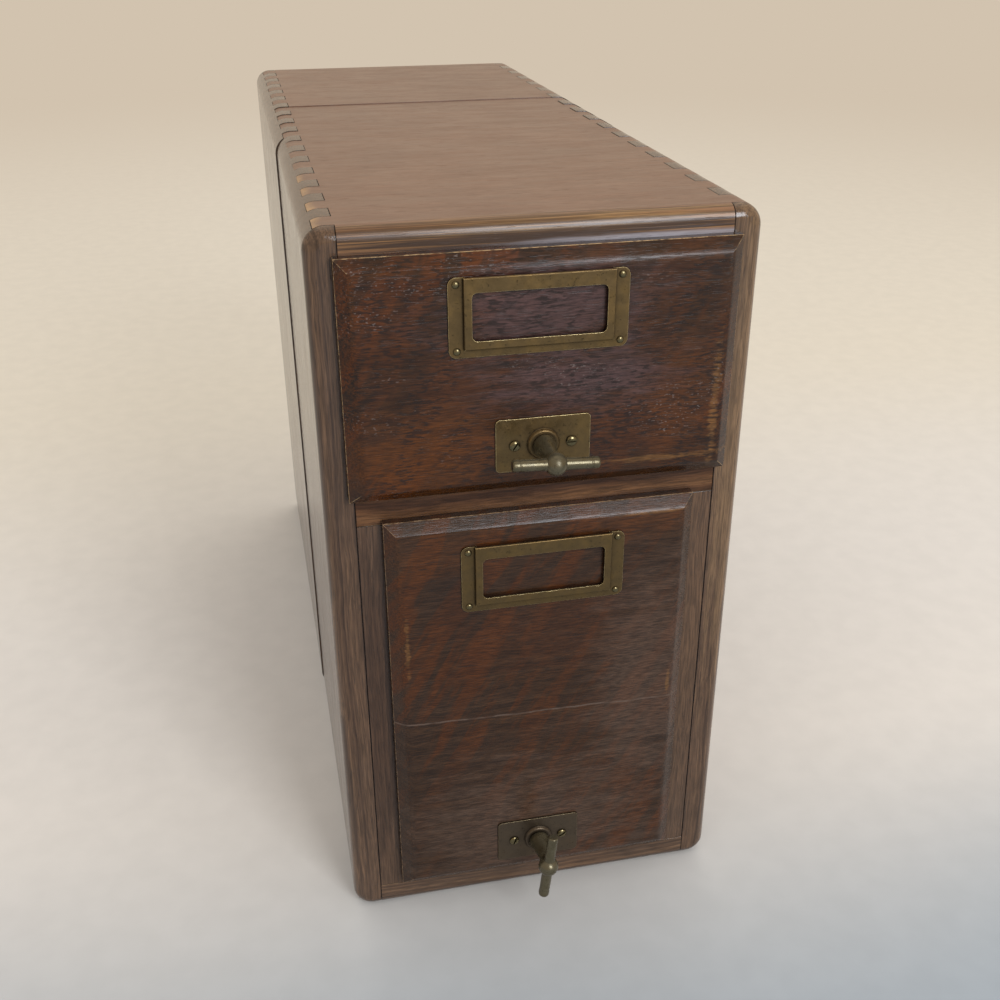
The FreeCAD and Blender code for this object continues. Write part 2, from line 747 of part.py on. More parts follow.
def make_back_board(drawer):
    """The drawer's back: taller than its sides, so that it meets the stop strip."""
    body = new_body(drawer.node("back"))
    half = f"({drawer.inner} + dado_depth - glue_gap)"
    board = Outline(body, "XZ", BACK_REAR).path([
        (f"-{half}", drawer.groove_high), (half, drawer.groove_high),
        (half, f"{drawer.top} - back_corner", "back_corner", 1), (f"{half} - back_corner", drawer.top),
        (f"-({half} - back_corner)", drawer.top, "back_corner", 1),
        (f"-{half}", f"{drawer.top} - back_corner")])
    pad(body, board, "drawer_back")
    bore = Outline(body, "XZ", BACK_REAR)
    bore.circle(drawer.rod_across, drawer.rod_up, "bush_radius + press_clearance")
    pocket(body, bore, "drawer_back", back=True)
    keep(body, drawer.node("back"))


def make_bottom(drawer):
    """The drawer's bottom panel, slid in from behind under the back."""
    body = new_body(drawer.node("bottom"))
    shoulder = f"({CORE_REAR} + glue_gap)"
    tip = f"({CORE_REAR} - bottom_groove + panel_slack)"
    half = f"({drawer.inner} + bottom_groove - panel_slack)"
    tongue = f"({drawer.inner} - panel_slack)"
    panel = Outline(body, "XY", drawer.panel_low).path([
        (f"-{half}", shoulder), (f"-{tongue}", shoulder), (f"-{tongue}", tip), (tongue, tip),
        (tongue, shoulder), (half, shoulder), (half, BACK_REAR), (f"-{half}", BACK_REAR)])
    pad(body, panel, "drawer_bottom")
    keep(body, drawer.node("bottom"))


def make_label_holder(drawer, pin):
    """A pressed label holder: a raised window frame, open at the top, between pinned flanges."""
    body = new_body(drawer.node("label_holder"))
    half = "(holder_width / 2)"
    low = "(-holder_height / 2)"
    high = "(holder_height / 2)"
    sheet_outline = Outline(body, "XZ").rounded(f"-{half}", low, half, high, "holder_corner")
    pad(body, sheet_outline, "holder_sheet")
    raised = f"({half} - holder_side_flange)"
    step = f"({low} + holder_foot_flange)"
    frame = Outline(body, "XZ").rectangle(f"-{raised}", step, raised, high)
    pad(body, frame, "holder_raise + holder_sheet")
    round_edges(body, "holder_edge_round", lambda edge: lies_at(edge, "y", "-(holder_raise + holder_sheet)"))
    slot = Outline(body, "XZ")
    slot.rectangle(f"-({raised} - holder_sheet)", f"{step} + holder_sheet", f"{raised} - holder_sheet", high)
    pocket(body, slot, "holder_raise", back=True)
    window = Outline(body, "XZ").rounded(
        "(-window_width / 2)", f"({low} + window_foot)", "(window_width / 2)",
        f"({low} + window_foot + window_height)", "window_corner")
    pocket(body, window)
    holes = Outline(body, "XZ")
    for side in (-1, 1):
        for row in (-1, 1):
            holes.circle(f"{side} * ({half} - pin_inset)", f"{row} * ({high} - pin_drop)",
                         "pin_shank_radius + press_clearance")
    pocket(body, holes)
    place_at(body, drawer.holder_across, FACE, drawer.holder_up)
    keep(body, drawer.node("label_holder"))
    scattered(drawer.node("label_pins"), pin, drawer.pin_spots())


def make_pull_plate(drawer, screw):
    """The rod's front bearing: a small screwed plate with a low dome."""
    body = new_body(drawer.node("pull_plate"))
    half = "(plate_width / 2)"
    rise = "(plate_height / 2)"
    plate = Outline(body, "XZ").rounded(f"-{half}", f"-{rise}", half, rise, "plate_corner")
    pad(body, plate, "plate_thickness")
    crown = "(plate_thickness + dome_height)"
    dome = Outline(body, "XY").path([
        ("0", "-plate_thickness"), ("dome_radius", "-plate_thickness"),
        ("dome_radius", f"-({crown} - dome_chamfer)"), ("dome_radius - dome_chamfer", f"-{crown}"),
        ("0", f"-{crown}")])
    revolve(body, dome, "Y")
    pocket(body, Outline(body, "XZ").circle("0", "0", "rod_radius + running_clearance"))
    holes = Outline(body, "XZ")
    for side in (-1, 1):
        holes.circle(f"{side} * plate_screw_spacing / 2", "0", "screw_shank_radius + press_clearance")
    pocket(body, holes)
    place_at(body, drawer.rod_across, FACE, drawer.rod_up)
    keep(body, drawer.node("pull_plate"))
    scattered(drawer.node("plate_screws"), screw, drawer.plate_screw_spots())


def make_rod_socket(drawer):
    """The rod's rear bearing: a flanged bush in the drawer's back."""
    body = new_body(drawer.node("rod_socket"))
    bore = "(rod_radius + running_clearance)"
    bush = Outline(body, "XY").path([
        (bore, "-drawer_back"), ("bush_radius", "-drawer_back"), ("bush_radius", "0"),
        ("bush_flange_radius", "0"), ("bush_flange_radius", "bush_flange"), (bore, "bush_flange")])
    revolve(body, bush, "Y")
    place_at(body, drawer.rod_across, BACK_REAR, drawer.rod_up)
    keep(body, drawer.node("rod_socket"))


# ---------------------------------------------------------------- rod and handle

HANDLE_BASE = "(handle_reach - plate_thickness - dome_height - handle_gap)"


def make_rod(drawer):
    """The card rod, from its socket in the handle to just past the rear bush."""
    body = new_body(drawer.node("rod"))
    front = f"({FACE} - handle_reach + {HANDLE_BASE} - rod_socket)"
    rear = f"({BACK_REAR} + bush_flange + rod_tail)"
    rod = Outline(body, "XY").path([
        ("0", front), ("rod_radius", front), ("rod_radius", f"{rear} - rod_tip"),
        ("rod_radius - rod_tip", rear), ("0", rear)])
    revolve(body, rod, "Y")
    place_at(body, drawer.rod_across, "0", drawer.rod_up)
    keep(body, drawer.node("rod"))


def make_handle(drawer):
    """The turned pull: a ball on a tapered stem, bored across for the bar."""
    body = new_body(drawer.node("handle"))
    neck = "sqrt(ball_radius ^ 2 - stem_neck_radius ^ 2)"
    profile = Outline(body, "XY").path([
        ("0", "-ball_radius", "ball_radius", 1), ("stem_neck_radius", neck),
        ("stem_base_radius", f"{HANDLE_BASE} - stem_land"), ("stem_base_radius", HANDLE_BASE),
        ("0", HANDLE_BASE)])
    revolve(body, profile, "Y")
    pocket(body, Outline(body, "YZ").circle("0", "0", "bar_radius + press_clearance"))
    socket = Outline(body, "XZ", HANDLE_BASE).circle("0", "0", "rod_radius + press_clearance")
    pocket(body, socket, "rod_socket + press_clearance", back=True)
    place_at(body, drawer.rod_across, f"{FACE} - handle_reach", drawer.rod_up,
             turn=drawer.node("handle_turn"))
    keep(body, drawer.node("handle"))


def make_crossbar(drawer):
    """The bar across the ball, chamfered and ringed near its ends."""
    body = new_body(drawer.node("crossbar"))
    end = "(bar_length / 2)"
    corner = f"({end} - bar_chamfer)"
    ring_out = f"({end} - bar_ring_setback)"
    ring_in = f"({ring_out} - bar_ring_width)"
    waist = "(bar_radius - bar_ring_depth)"
    half = [
        (ring_in, "bar_radius"), (ring_in, waist), (ring_out, waist), (ring_out, "bar_radius"),
        (corner, "bar_radius"), (end, "bar_radius - bar_chamfer")]
    mirrored = [(f"-{across}", up) for across, up in reversed(half)]
    outline = Outline(body, "XY").path([(f"-{end}", "0"), *mirrored, *half, (end, "0")])
    revolve(body, outline, "X")
    place_at(body, drawer.rod_across, f"{FACE} - handle_reach", drawer.rod_up,
             turn=drawer.node("handle_turn"))
    keep(body, drawer.node("crossbar"))


# ---------------------------------------------------------------- card follower

def make_follower(drawer, screw):
    """The leaning block that holds the cards up, its brass plate and the plate's screws."""
    rear = f"({BACK_FACE} - follower_rest_gap - screw_head_height - follower_plate_thickness)"
    low = f"({drawer.panel_high} + follower_lift)"
    high = f"({low} + {drawer.name}_follower_height)"
    body = new_body(drawer.node("follower"))
    block = Outline(body, "YZ").path([
        (f"{rear} - follower_foot", low), (rear, low), (rear, high), (f"{rear} - follower_head", high)])
    pad(body, block, f"2 * ({drawer.inner} - follower_play)", both=True)
    round_edges(body, "follower_round", lambda edge: lies_at(edge, "z", high) and runs_along(edge, "x"))
    bore = Outline(body, "XZ")
    bore.circle(drawer.rod_across, drawer.rod_up, "rod_radius + follower_rod_clearance")
    pocket(body, bore)
    spots = [(f"{drawer.rod_across} + {side} * follower_screw_spacing / 2",
              f"{rear} + follower_plate_thickness", drawer.rod_up) for side in (-1, 1)]
    holes = Outline(body, "XZ", rear)
    for across, _, up in spots:
        holes.circle(across, up, "screw_shank_radius + press_clearance")
    pocket(body, holes, "screw_length - follower_plate_thickness + press_clearance", back=True)
    keep(body, drawer.node("follower"))

    plate = new_body(drawer.node("follower_plate"))
    half = "(follower_plate_width / 2)"
    rise = "(follower_plate_height / 2)"
    sheet_outline = Outline(plate, "XZ").rounded(f"-{half}", f"-{rise}", half, rise, "plate_corner")
    pad(plate, sheet_outline, "follower_plate_thickness", back=True)
    pocket(plate, Outline(plate, "XZ").circle("0", "0", "rod_radius + follower_rod_clearance"))
    holes = Outline(plate, "XZ")
    for side in (-1, 1):
        holes.circle(f"{side} * follower_screw_spacing / 2", "0", "screw_shank_radius + press_clearance")
    pocket(plate, holes)
    place_at(plate, drawer.rod_across, rear, drawer.rod_up)
    keep(plate, drawer.node("follower_plate"))
    scattered(drawer.node("follower_screws"), screw, spots, behind=True)


# ---------------------------------------------------------------- the whole cabinet

make_carcase()
make_frame()
wood_screw = make_fastener(
    "screw", "screw_head_radius", "screw_head_height", "screw_shank_radius", "screw_length")
brad = make_fastener(
    "pin", "pin_head_radius", "pin_head_height", "pin_shank_radius", "pin_length")
make_back(wood_screw)

for drawer in (
        Drawer("upper", INNER, f"({RAIL_TOP} + slide_gap)", "(case_height - board)"),
        Drawer("lower", STILE_EDGE, "(board + wear_strip_height + slide_gap)", RAIL_FOOT)):
    make_front(drawer)
    for side_name, side_sign in SIDES.items():
        make_side(drawer, side_name, side_sign)
    make_back_board(drawer)
    make_bottom(drawer)
    make_label_holder(drawer, brad)
    make_pull_plate(drawer, wood_screw)
    make_rod_socket(drawer)
    make_rod(drawer)
    make_handle(drawer)
    make_crossbar(drawer)
    make_follower(drawer, wood_screw)

doc.recompute()
failed = [item.Label for item in doc.Objects if {"Invalid", "Error"} & set(item.State)]
if failed:
    raise RuntimeError(f"objects that failed: {failed}")
for node in nodes:
    if node.Shape.isNull() or not node.Shape.isValid() or not node.Shape.Solids:
        raise RuntimeError(f"{node.Label}: its shape is not sound")

os.makedirs("parts", exist_ok=True)
for node in nodes:
    node.Shape.exportStep(f"parts/{node.Label}.step")
    print(node.Label, len(node.Shape.Solids), round(node.Shape.Volume, 1))
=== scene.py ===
"""Two-drawer oak card cabinet: the finished boards, brass fittings and the studio they stand in.

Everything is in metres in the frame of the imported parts, unless its docstring says otherwise: x to the
right, y to the back, z up.
"""

import json
import logging
import math
from dataclasses import dataclass
from enum import Enum
from typing import Iterable, Optional, Sequence, Union

import bmesh
import bpy
from mathutils import Matrix, Vector
from mathutils.bvhtree import BVHTree

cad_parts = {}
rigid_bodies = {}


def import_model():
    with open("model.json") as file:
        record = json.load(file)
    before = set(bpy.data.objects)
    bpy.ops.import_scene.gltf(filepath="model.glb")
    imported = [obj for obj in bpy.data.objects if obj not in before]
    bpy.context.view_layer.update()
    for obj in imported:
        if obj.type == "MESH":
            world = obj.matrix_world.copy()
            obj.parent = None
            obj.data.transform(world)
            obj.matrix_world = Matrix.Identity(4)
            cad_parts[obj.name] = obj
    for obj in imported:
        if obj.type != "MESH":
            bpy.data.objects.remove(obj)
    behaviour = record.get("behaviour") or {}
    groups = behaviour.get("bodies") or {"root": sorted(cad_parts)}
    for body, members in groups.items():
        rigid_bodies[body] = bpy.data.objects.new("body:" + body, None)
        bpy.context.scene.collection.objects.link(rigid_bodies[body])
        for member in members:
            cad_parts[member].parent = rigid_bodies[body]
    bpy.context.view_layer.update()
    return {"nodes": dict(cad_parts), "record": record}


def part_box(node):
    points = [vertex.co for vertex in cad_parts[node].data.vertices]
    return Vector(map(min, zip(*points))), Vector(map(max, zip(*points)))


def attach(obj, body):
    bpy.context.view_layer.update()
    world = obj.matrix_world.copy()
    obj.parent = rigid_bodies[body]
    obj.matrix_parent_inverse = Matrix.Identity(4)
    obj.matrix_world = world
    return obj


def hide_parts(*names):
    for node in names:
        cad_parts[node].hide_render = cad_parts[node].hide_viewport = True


for leftover in list(bpy.data.objects):
    bpy.data.objects.remove(leftover)
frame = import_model()

LOG = logging.getLogger("card_cabinet")
Colour = tuple[float, float, float, float]
Triple = tuple[float, float, float]
Profile = Sequence[tuple[float, float]]  # places along an axis, each with a radius or a share of one
Mesh = bmesh.types.BMesh
Socket = bpy.types.NodeSocket
Value = Union[Socket, float, Sequence[float]]
MM_PER_METRE = 1000.0
MERGE_REACH = 1e-6  # points of a mesh nearer than this become one
JOINT_REACH = 0.0004  # a neighbour nearer than this to a rounding makes it a joint
HOLLOW_SAMPLES = 6
NORMAL_WEIGHT = 80  # how much a big face counts over a small one in its shading
FACE_PLACE_MM = -231.0  # y of the drawer fronts, where their marks are centred
FACE_REACH_MM = 30.0  # how deep those marks reach


def tone(red: int, green: int, blue: int) -> Colour:
    """A colour written as screen values, turned linear.

    Args:
        red: Red from 0 to 255.
        green: Green from 0 to 255.
        blue: Blue from 0 to 255.

    Returns:
        The linear colour with full alpha.
    """
    parts = [v / 255.0 for v in (red, green, blue)]
    line = [v / 12.92 if v <= 0.04045 else ((v + 0.055) / 1.055) ** 2.4 for v in parts]
    return (line[0], line[1], line[2], 1.0)


class Grain(Enum):
    """The way the fibres of a board run."""

    ALONG_X = 0
    ALONG_Y = 1
    ALONG_Z = 2

    def stretch(self, along: float, across: float) -> Triple:
        """A scale that is coarse along the fibres and fine across them.

        Args:
            along: Pattern scale along the fibres, per metre.
            across: Pattern scale across the fibres, per metre.

        Returns:
            The scale for x, y and z.
        """
        scale = [across, across, across]
        scale[self.value] = along
        return (scale[0], scale[1], scale[2])


class Tree:
    """Builds one material's nodes in a few plain calls."""

    def __init__(self, name: str) -> None:
        """Starts an empty material with a surface shader.

        Args:
            name: The material's name.
        """
        self.material = bpy.data.materials.new(name)
        self.material.use_nodes = True
        self.nodes = self.material.node_tree.nodes
        self.links = self.material.node_tree.links
        self.nodes.clear()
        self.output = self.nodes.new("ShaderNodeOutputMaterial")
        self.shader = self.nodes.new("ShaderNodeBsdfPrincipled")
        self.links.new(self.shader.outputs["BSDF"], self.output.inputs["Surface"])
        self.place = self.nodes.new("ShaderNodeTexCoord").outputs["Object"]

    def feed(self, socket: Socket, value: Value) -> None:
        """Links a socket, or sets it to a plain value.

        Args:
            socket: The input to fill.
            value: Another node's output, a number or a tuple.
        """
        if isinstance(value, Socket):
            self.links.new(value, socket)
        else:
            socket.default_value = value

    def surface(self, **values: Value) -> None:
        """Fills inputs of the surface shader, with _ for a space in a name.

        Args:
            **values: Input name to value.
        """
        for key, value in values.items():
            self.feed(self.shader.inputs[key.replace("_", " ")], value)

    def mapped(self, vector: Value, scale: Triple = (1, 1, 1), turn: Triple = (0, 0, 0),
               shift: Triple = (0, 0, 0)) -> Socket:
        """Scales, turns (degrees) and shifts a place.

        Args:
            vector: The place.
            scale: Scale for each axis.
            turn: Degrees about each axis.
            shift: Metres added after the scale and turn.

        Returns:
            The changed place.
        """
        node = self.nodes.new("ShaderNodeMapping")
        self.feed(node.inputs["Vector"], vector)
        node.inputs["Scale"].default_value = scale
        node.inputs["Rotation"].default_value = [math.radians(v) for v in turn]
        node.inputs["Location"].default_value = shift
        return node.outputs["Vector"]

    def noise(self, vector: Value, scale: float = 1.0, detail: float = 2.0, rough: float = 0.5,
              warp: float = 0.0, tinted: bool = False) -> Socket:
        """Soft noise from 0 to 1, around 0.5.

        Args:
            vector: Where it is read.
            scale: Pattern scale.
            detail: How many finer layers it has.
            rough: How strong the finer layers are.
            warp: How much it is bent.
            tinted: True for three independent values in place of one.

        Returns:
            The noise.
        """
        node = self.nodes.new("ShaderNodeTexNoise")
        self.feed(node.inputs["Vector"], vector)
        for key, value in (("Scale", scale), ("Detail", detail), ("Roughness", rough), ("Distortion", warp)):
            node.inputs[key].default_value = value
        return node.outputs["Color" if tinted else "Fac"]

    def wander(self, place: Value, scale: Triple, reach: float) -> Socket:
        """A small sideways drift that makes fibres run unevenly.

        Args:
            place: Where it is read.
            scale: Its pattern scale on each axis.
            reach: The most that it moves, in metres.

        Returns:
            The drift.
        """
        wave = self.noise(self.mapped(place, scale=scale), detail=2.0, tinted=True)
        drift = self.vector("SCALE", self.vector("SUBTRACT", wave, (0.5, 0.5, 0.5)))
        drift.node.inputs["Scale"].default_value = reach
        return drift

    def rings(self, distance: Value, scale: float, detail: float = 2.0) -> Socket:
        """Noise along one distance: uneven growth rings.

        Args:
            distance: Distance from the heart of the tree.
            scale: Rings per metre, roughly.
            detail: How many finer layers it has.

        Returns:
            The noise.
        """
        node = self.nodes.new("ShaderNodeTexNoise")
        node.noise_dimensions = "1D"
        self.feed(node.inputs["W"], distance)
        node.inputs["Scale"].default_value = scale
        node.inputs["Detail"].default_value = detail
        return node.outputs["Fac"]

    def math(self, operation: str, first: Value, second: Value = 0.0) -> Socket:
        """One sum on plain numbers.

        Args:
            operation: Blender's name of the sum.
            first: First number.
            second: Second number, for the sums that need it.

        Returns:
            The result.
        """
        node = self.nodes.new("ShaderNodeMath")
        node.operation = operation
        for socket, value in zip(node.inputs, (first, second)):
            self.feed(socket, value)
        return node.outputs["Value"]

    def times(self, first: Value, second: Value) -> Socket:
        """The product of two numbers."""
        return self.math("MULTIPLY", first, second)

    def swing(self, pattern: Value, reach: float) -> Socket:
        """A noise of 0 to 1 turned into a swing to both sides of nothing."""
        return self.times(self.math("SUBTRACT", pattern, 0.5), reach)

    def vector(self, operation: str, first: Value, second: Value = (0.0, 0.0, 0.0)) -> Socket:
        """One sum on vectors; LENGTH gives a number.

        Args:
            operation: Blender's name of the sum.
            first: First vector.
            second: Second vector.

        Returns:
            The result.
        """
        node = self.nodes.new("ShaderNodeVectorMath")
        node.operation = operation
        self.feed(node.inputs[0], first)
        self.feed(node.inputs[1], second)
        return node.outputs["Value" if operation == "LENGTH" else "Vector"]

    def step(self, value: Value, low: float, high: float, start: float = 0.0, end: float = 1.0) -> Socket:
        """A soft step as a value goes from low to high.

        Args:
            value: What is read.
            low: Where the step begins.
            high: Where it is complete.
            start: Result at low.
            end: Result at high.

        Returns:
            The stepped value.
        """
        node = self.nodes.new("ShaderNodeMapRange")
        node.interpolation_type = "SMOOTHSTEP"
        self.feed(node.inputs["Value"], value)
        for key, number in (("From Min", low), ("From Max", high), ("To Min", start), ("To Max", end)):
            node.inputs[key].default_value = number
        return node.outputs["Result"]

    def blend(self, amount: Value, first: Value, second: Value, mode: str = "MIX") -> Socket:
        """Mixes two colours.

        Args:
            amount: 0 for the first colour, 1 for the second.
            first: First colour.
            second: Second colour.
            mode: Blender's name of the way they mix.

        Returns:
            The mixed colour.
        """
        node = self.nodes.new("ShaderNodeMix")
        node.data_type = "RGBA"
        node.blend_type = mode
        self.feed(node.inputs[0], amount)
        self.feed(node.inputs[6], first)
        self.feed(node.inputs[7], second)
        return node.outputs[2]

    def grey(self, value: Value) -> Socket:
        """The same number as red, green and blue.

        Args:
            value: The number.

        Returns:
            The grey.
        """
        node = self.nodes.new("ShaderNodeCombineColor")
        for socket in node.inputs[:3]:
            self.feed(socket, value)
        return node.outputs[0]

    def shaded(self, colour: Value, pattern: Value, amount: float) -> Socket:
        """Darkens and lightens a colour by a noise.

        Args:
            colour: The colour.
            pattern: The noise.
            amount: The most that it changes the colour, as a share.

        Returns:
            The shaded colour.
        """
        shade = self.step(pattern, 0.3, 0.7, 1.0 - amount, 1.0 + amount)
        return self.blend(1.0, colour, self.grey(shade), "MULTIPLY")

    def ramp(self, value: Value, stops: Sequence[tuple[float, Colour]]) -> Socket:
        """Turns a number into a colour.

        Args:
            value: The number.
            stops: Places from 0 to 1 and their colours.

        Returns:
            The colour.
        """
        node = self.nodes.new("ShaderNodeValToRGB")
        self.feed(node.inputs["Fac"], value)
        marks = node.color_ramp.elements
        while len(marks) < len(stops):
            marks.new(0.5)
        for mark, (place, colour) in zip(marks, stops):
            mark.position, mark.color = place, colour
        return node.outputs["Color"]

    def axes(self, vector: Value) -> tuple[Socket, Socket, Socket]:
        """Takes a vector apart.

        Args:
            vector: The vector.

        Returns:
            Its x, y and z.
        """
        node = self.nodes.new("ShaderNodeSeparateXYZ")
        self.feed(node.inputs[0], vector)
        return node.outputs[0], node.outputs[1], node.outputs[2]

    def marked(self, name: str) -> Socket:
        """A number that the mesh carries on its faces.

        Args:
            name: The number's name.

        Returns:
            The number.
        """
        node = self.nodes.new("ShaderNodeAttribute")
        node.attribute_name = name
        return node.outputs["Fac"]

    def hollow(self, reach: float) -> Socket:
        """How open the surface is: 1 in the open, less in corners.

        Args:
            reach: How far it looks for a corner's other side, in metres.

        Returns:
            The openness.
        """
        node = self.nodes.new("ShaderNodeAmbientOcclusion")
        node.samples = HOLLOW_SAMPLES
        node.inputs["Distance"].default_value = reach
        return node.outputs["AO"]

    def relief(self, height: Value, strength: float, depth: float) -> None:
        """Gives the surface a fine relief.

        Args:
            height: The height, 0 to 1.
            strength: How strongly it shows.
            depth: Its depth in metres.
        """
        node = self.nodes.new("ShaderNodeBump")
        node.inputs["Strength"].default_value = strength
        node.inputs["Distance"].default_value = depth
        self.feed(node.inputs["Height"], height)
        self.links.new(node.outputs["Normal"], self.shader.inputs["Normal"])


@dataclass(frozen=True)
class Fibres:
    """Where a board's patterns are read: still places, and places that drift as its fibres do."""

    tree: Tree
    grain: Grain
    still: Socket
    drift: Socket
    bent: Socket

    @classmethod
    def of(cls, tree: Tree, grain: Grain, seed: int) -> "Fibres":
        """Sets out one board's fibres.

        Args:
            tree: The material's nodes.
            grain: The way the board's fibres run.
            seed: A number that makes the board unlike the others.

        Returns:
            The board's places.
        """
        still = tree.mapped(tree.place, shift=(seed * 0.173, seed * 0.291, seed * 0.137))
        bend = tree.wander(still, grain.stretch(9.0, 26.0), 0.0075)
        ripple = tree.wander(still, grain.stretch(60.0, 130.0), 0.0011)
        drift = tree.vector("ADD", bend, ripple)
        return cls(tree, grain, still, drift, tree.vector("ADD", still, drift))

    def noise(self, along: float, across: float, bent: bool = False, detail: float = 2.0,
              rough: float = 0.5) -> Socket:
        """Noise drawn out along the fibres.

        Args:
            along: Pattern scale along the fibres, per metre.
            across: Pattern scale across the fibres, per metre.
            bent: True where it follows the drifting fibres.
            detail: How many finer layers it has.
            rough: How strong the finer layers are.

        Returns:
            The noise.
        """
        scaled = self.tree.mapped(self.bent if bent else self.still, scale=self.grain.stretch(along, across))
        return self.tree.noise(scaled, detail=detail, rough=rough)


@dataclass(frozen=True)
class Patch:
    """A local change of tone, such as rubbed, sun-faded or grimy wood, or a painted shadow, light or
    reflection. Places are in millimetres.
    """

    colour: Colour
    centre: Triple
    reach: Triple
    strength: float
    ragged: float = 0.5
    along: float = 30.0
    across: float = 180.0

    def lay(self, fibres: Fibres, colour: Value) -> Socket:
        """Lays the patch over a board.

        Args:
            fibres: The board's fibres, which break up the patch's edge.
            colour: The board's colour so far.

        Returns:
            The colour with the patch in it.
        """
        tree = fibres.tree
        scale = tuple(MM_PER_METRE / r for r in self.reach)
        shift = tuple(-c / r for c, r in zip(self.centre, self.reach))
        edge = fibres.noise(self.along, self.across, detail=4.0, rough=0.65)
        distance = tree.vector("LENGTH", tree.mapped(tree.place, scale=scale, shift=shift))
        distance = tree.math("ADD", distance, tree.swing(edge, self.ragged * 2.0))
        return tree.blend(tree.step(distance, 0.25, 1.0, self.strength, 0.0), colour, self.colour)


@dataclass(frozen=True)
class Crack:
    """An old glue line that has opened a hair across a front."""

    height: float
    rise: float
    colour: Colour = tone(90, 72, 61)
    wander: float = 0.0022
    half_width: float = 0.0006

    def draw(self, tree: Tree, colour: Value) -> tuple[Socket, Socket]:
        """Draws the line on the board.

        Args:
            tree: The material's nodes.
            colour: The board's colour so far.

        Returns:
            The line's mask and the colour with the line in it.
        """
        across, _, up = tree.axes(tree.place)
        wave = tree.noise(tree.mapped(tree.place, scale=(60.0, 1.0, 1.0)), detail=3.0, rough=0.7)
        level = tree.math("ADD", self.height, tree.times(across, self.rise))
        level = tree.math("ADD", level, tree.swing(wave, self.wander))
        gap = tree.math("ABSOLUTE", tree.math("SUBTRACT", up, level))
        line = tree.step(gap, self.half_width * 0.3, self.half_width, 1.0, 0.0)
        chips = tree.noise(tree.mapped(tree.place, scale=(160.0, 40.0, 40.0)), detail=3.0)
        mask = tree.times(line, tree.step(chips, 0.3, 0.62, 0.25, 0.85))
        return mask, tree.blend(mask, colour, self.colour)


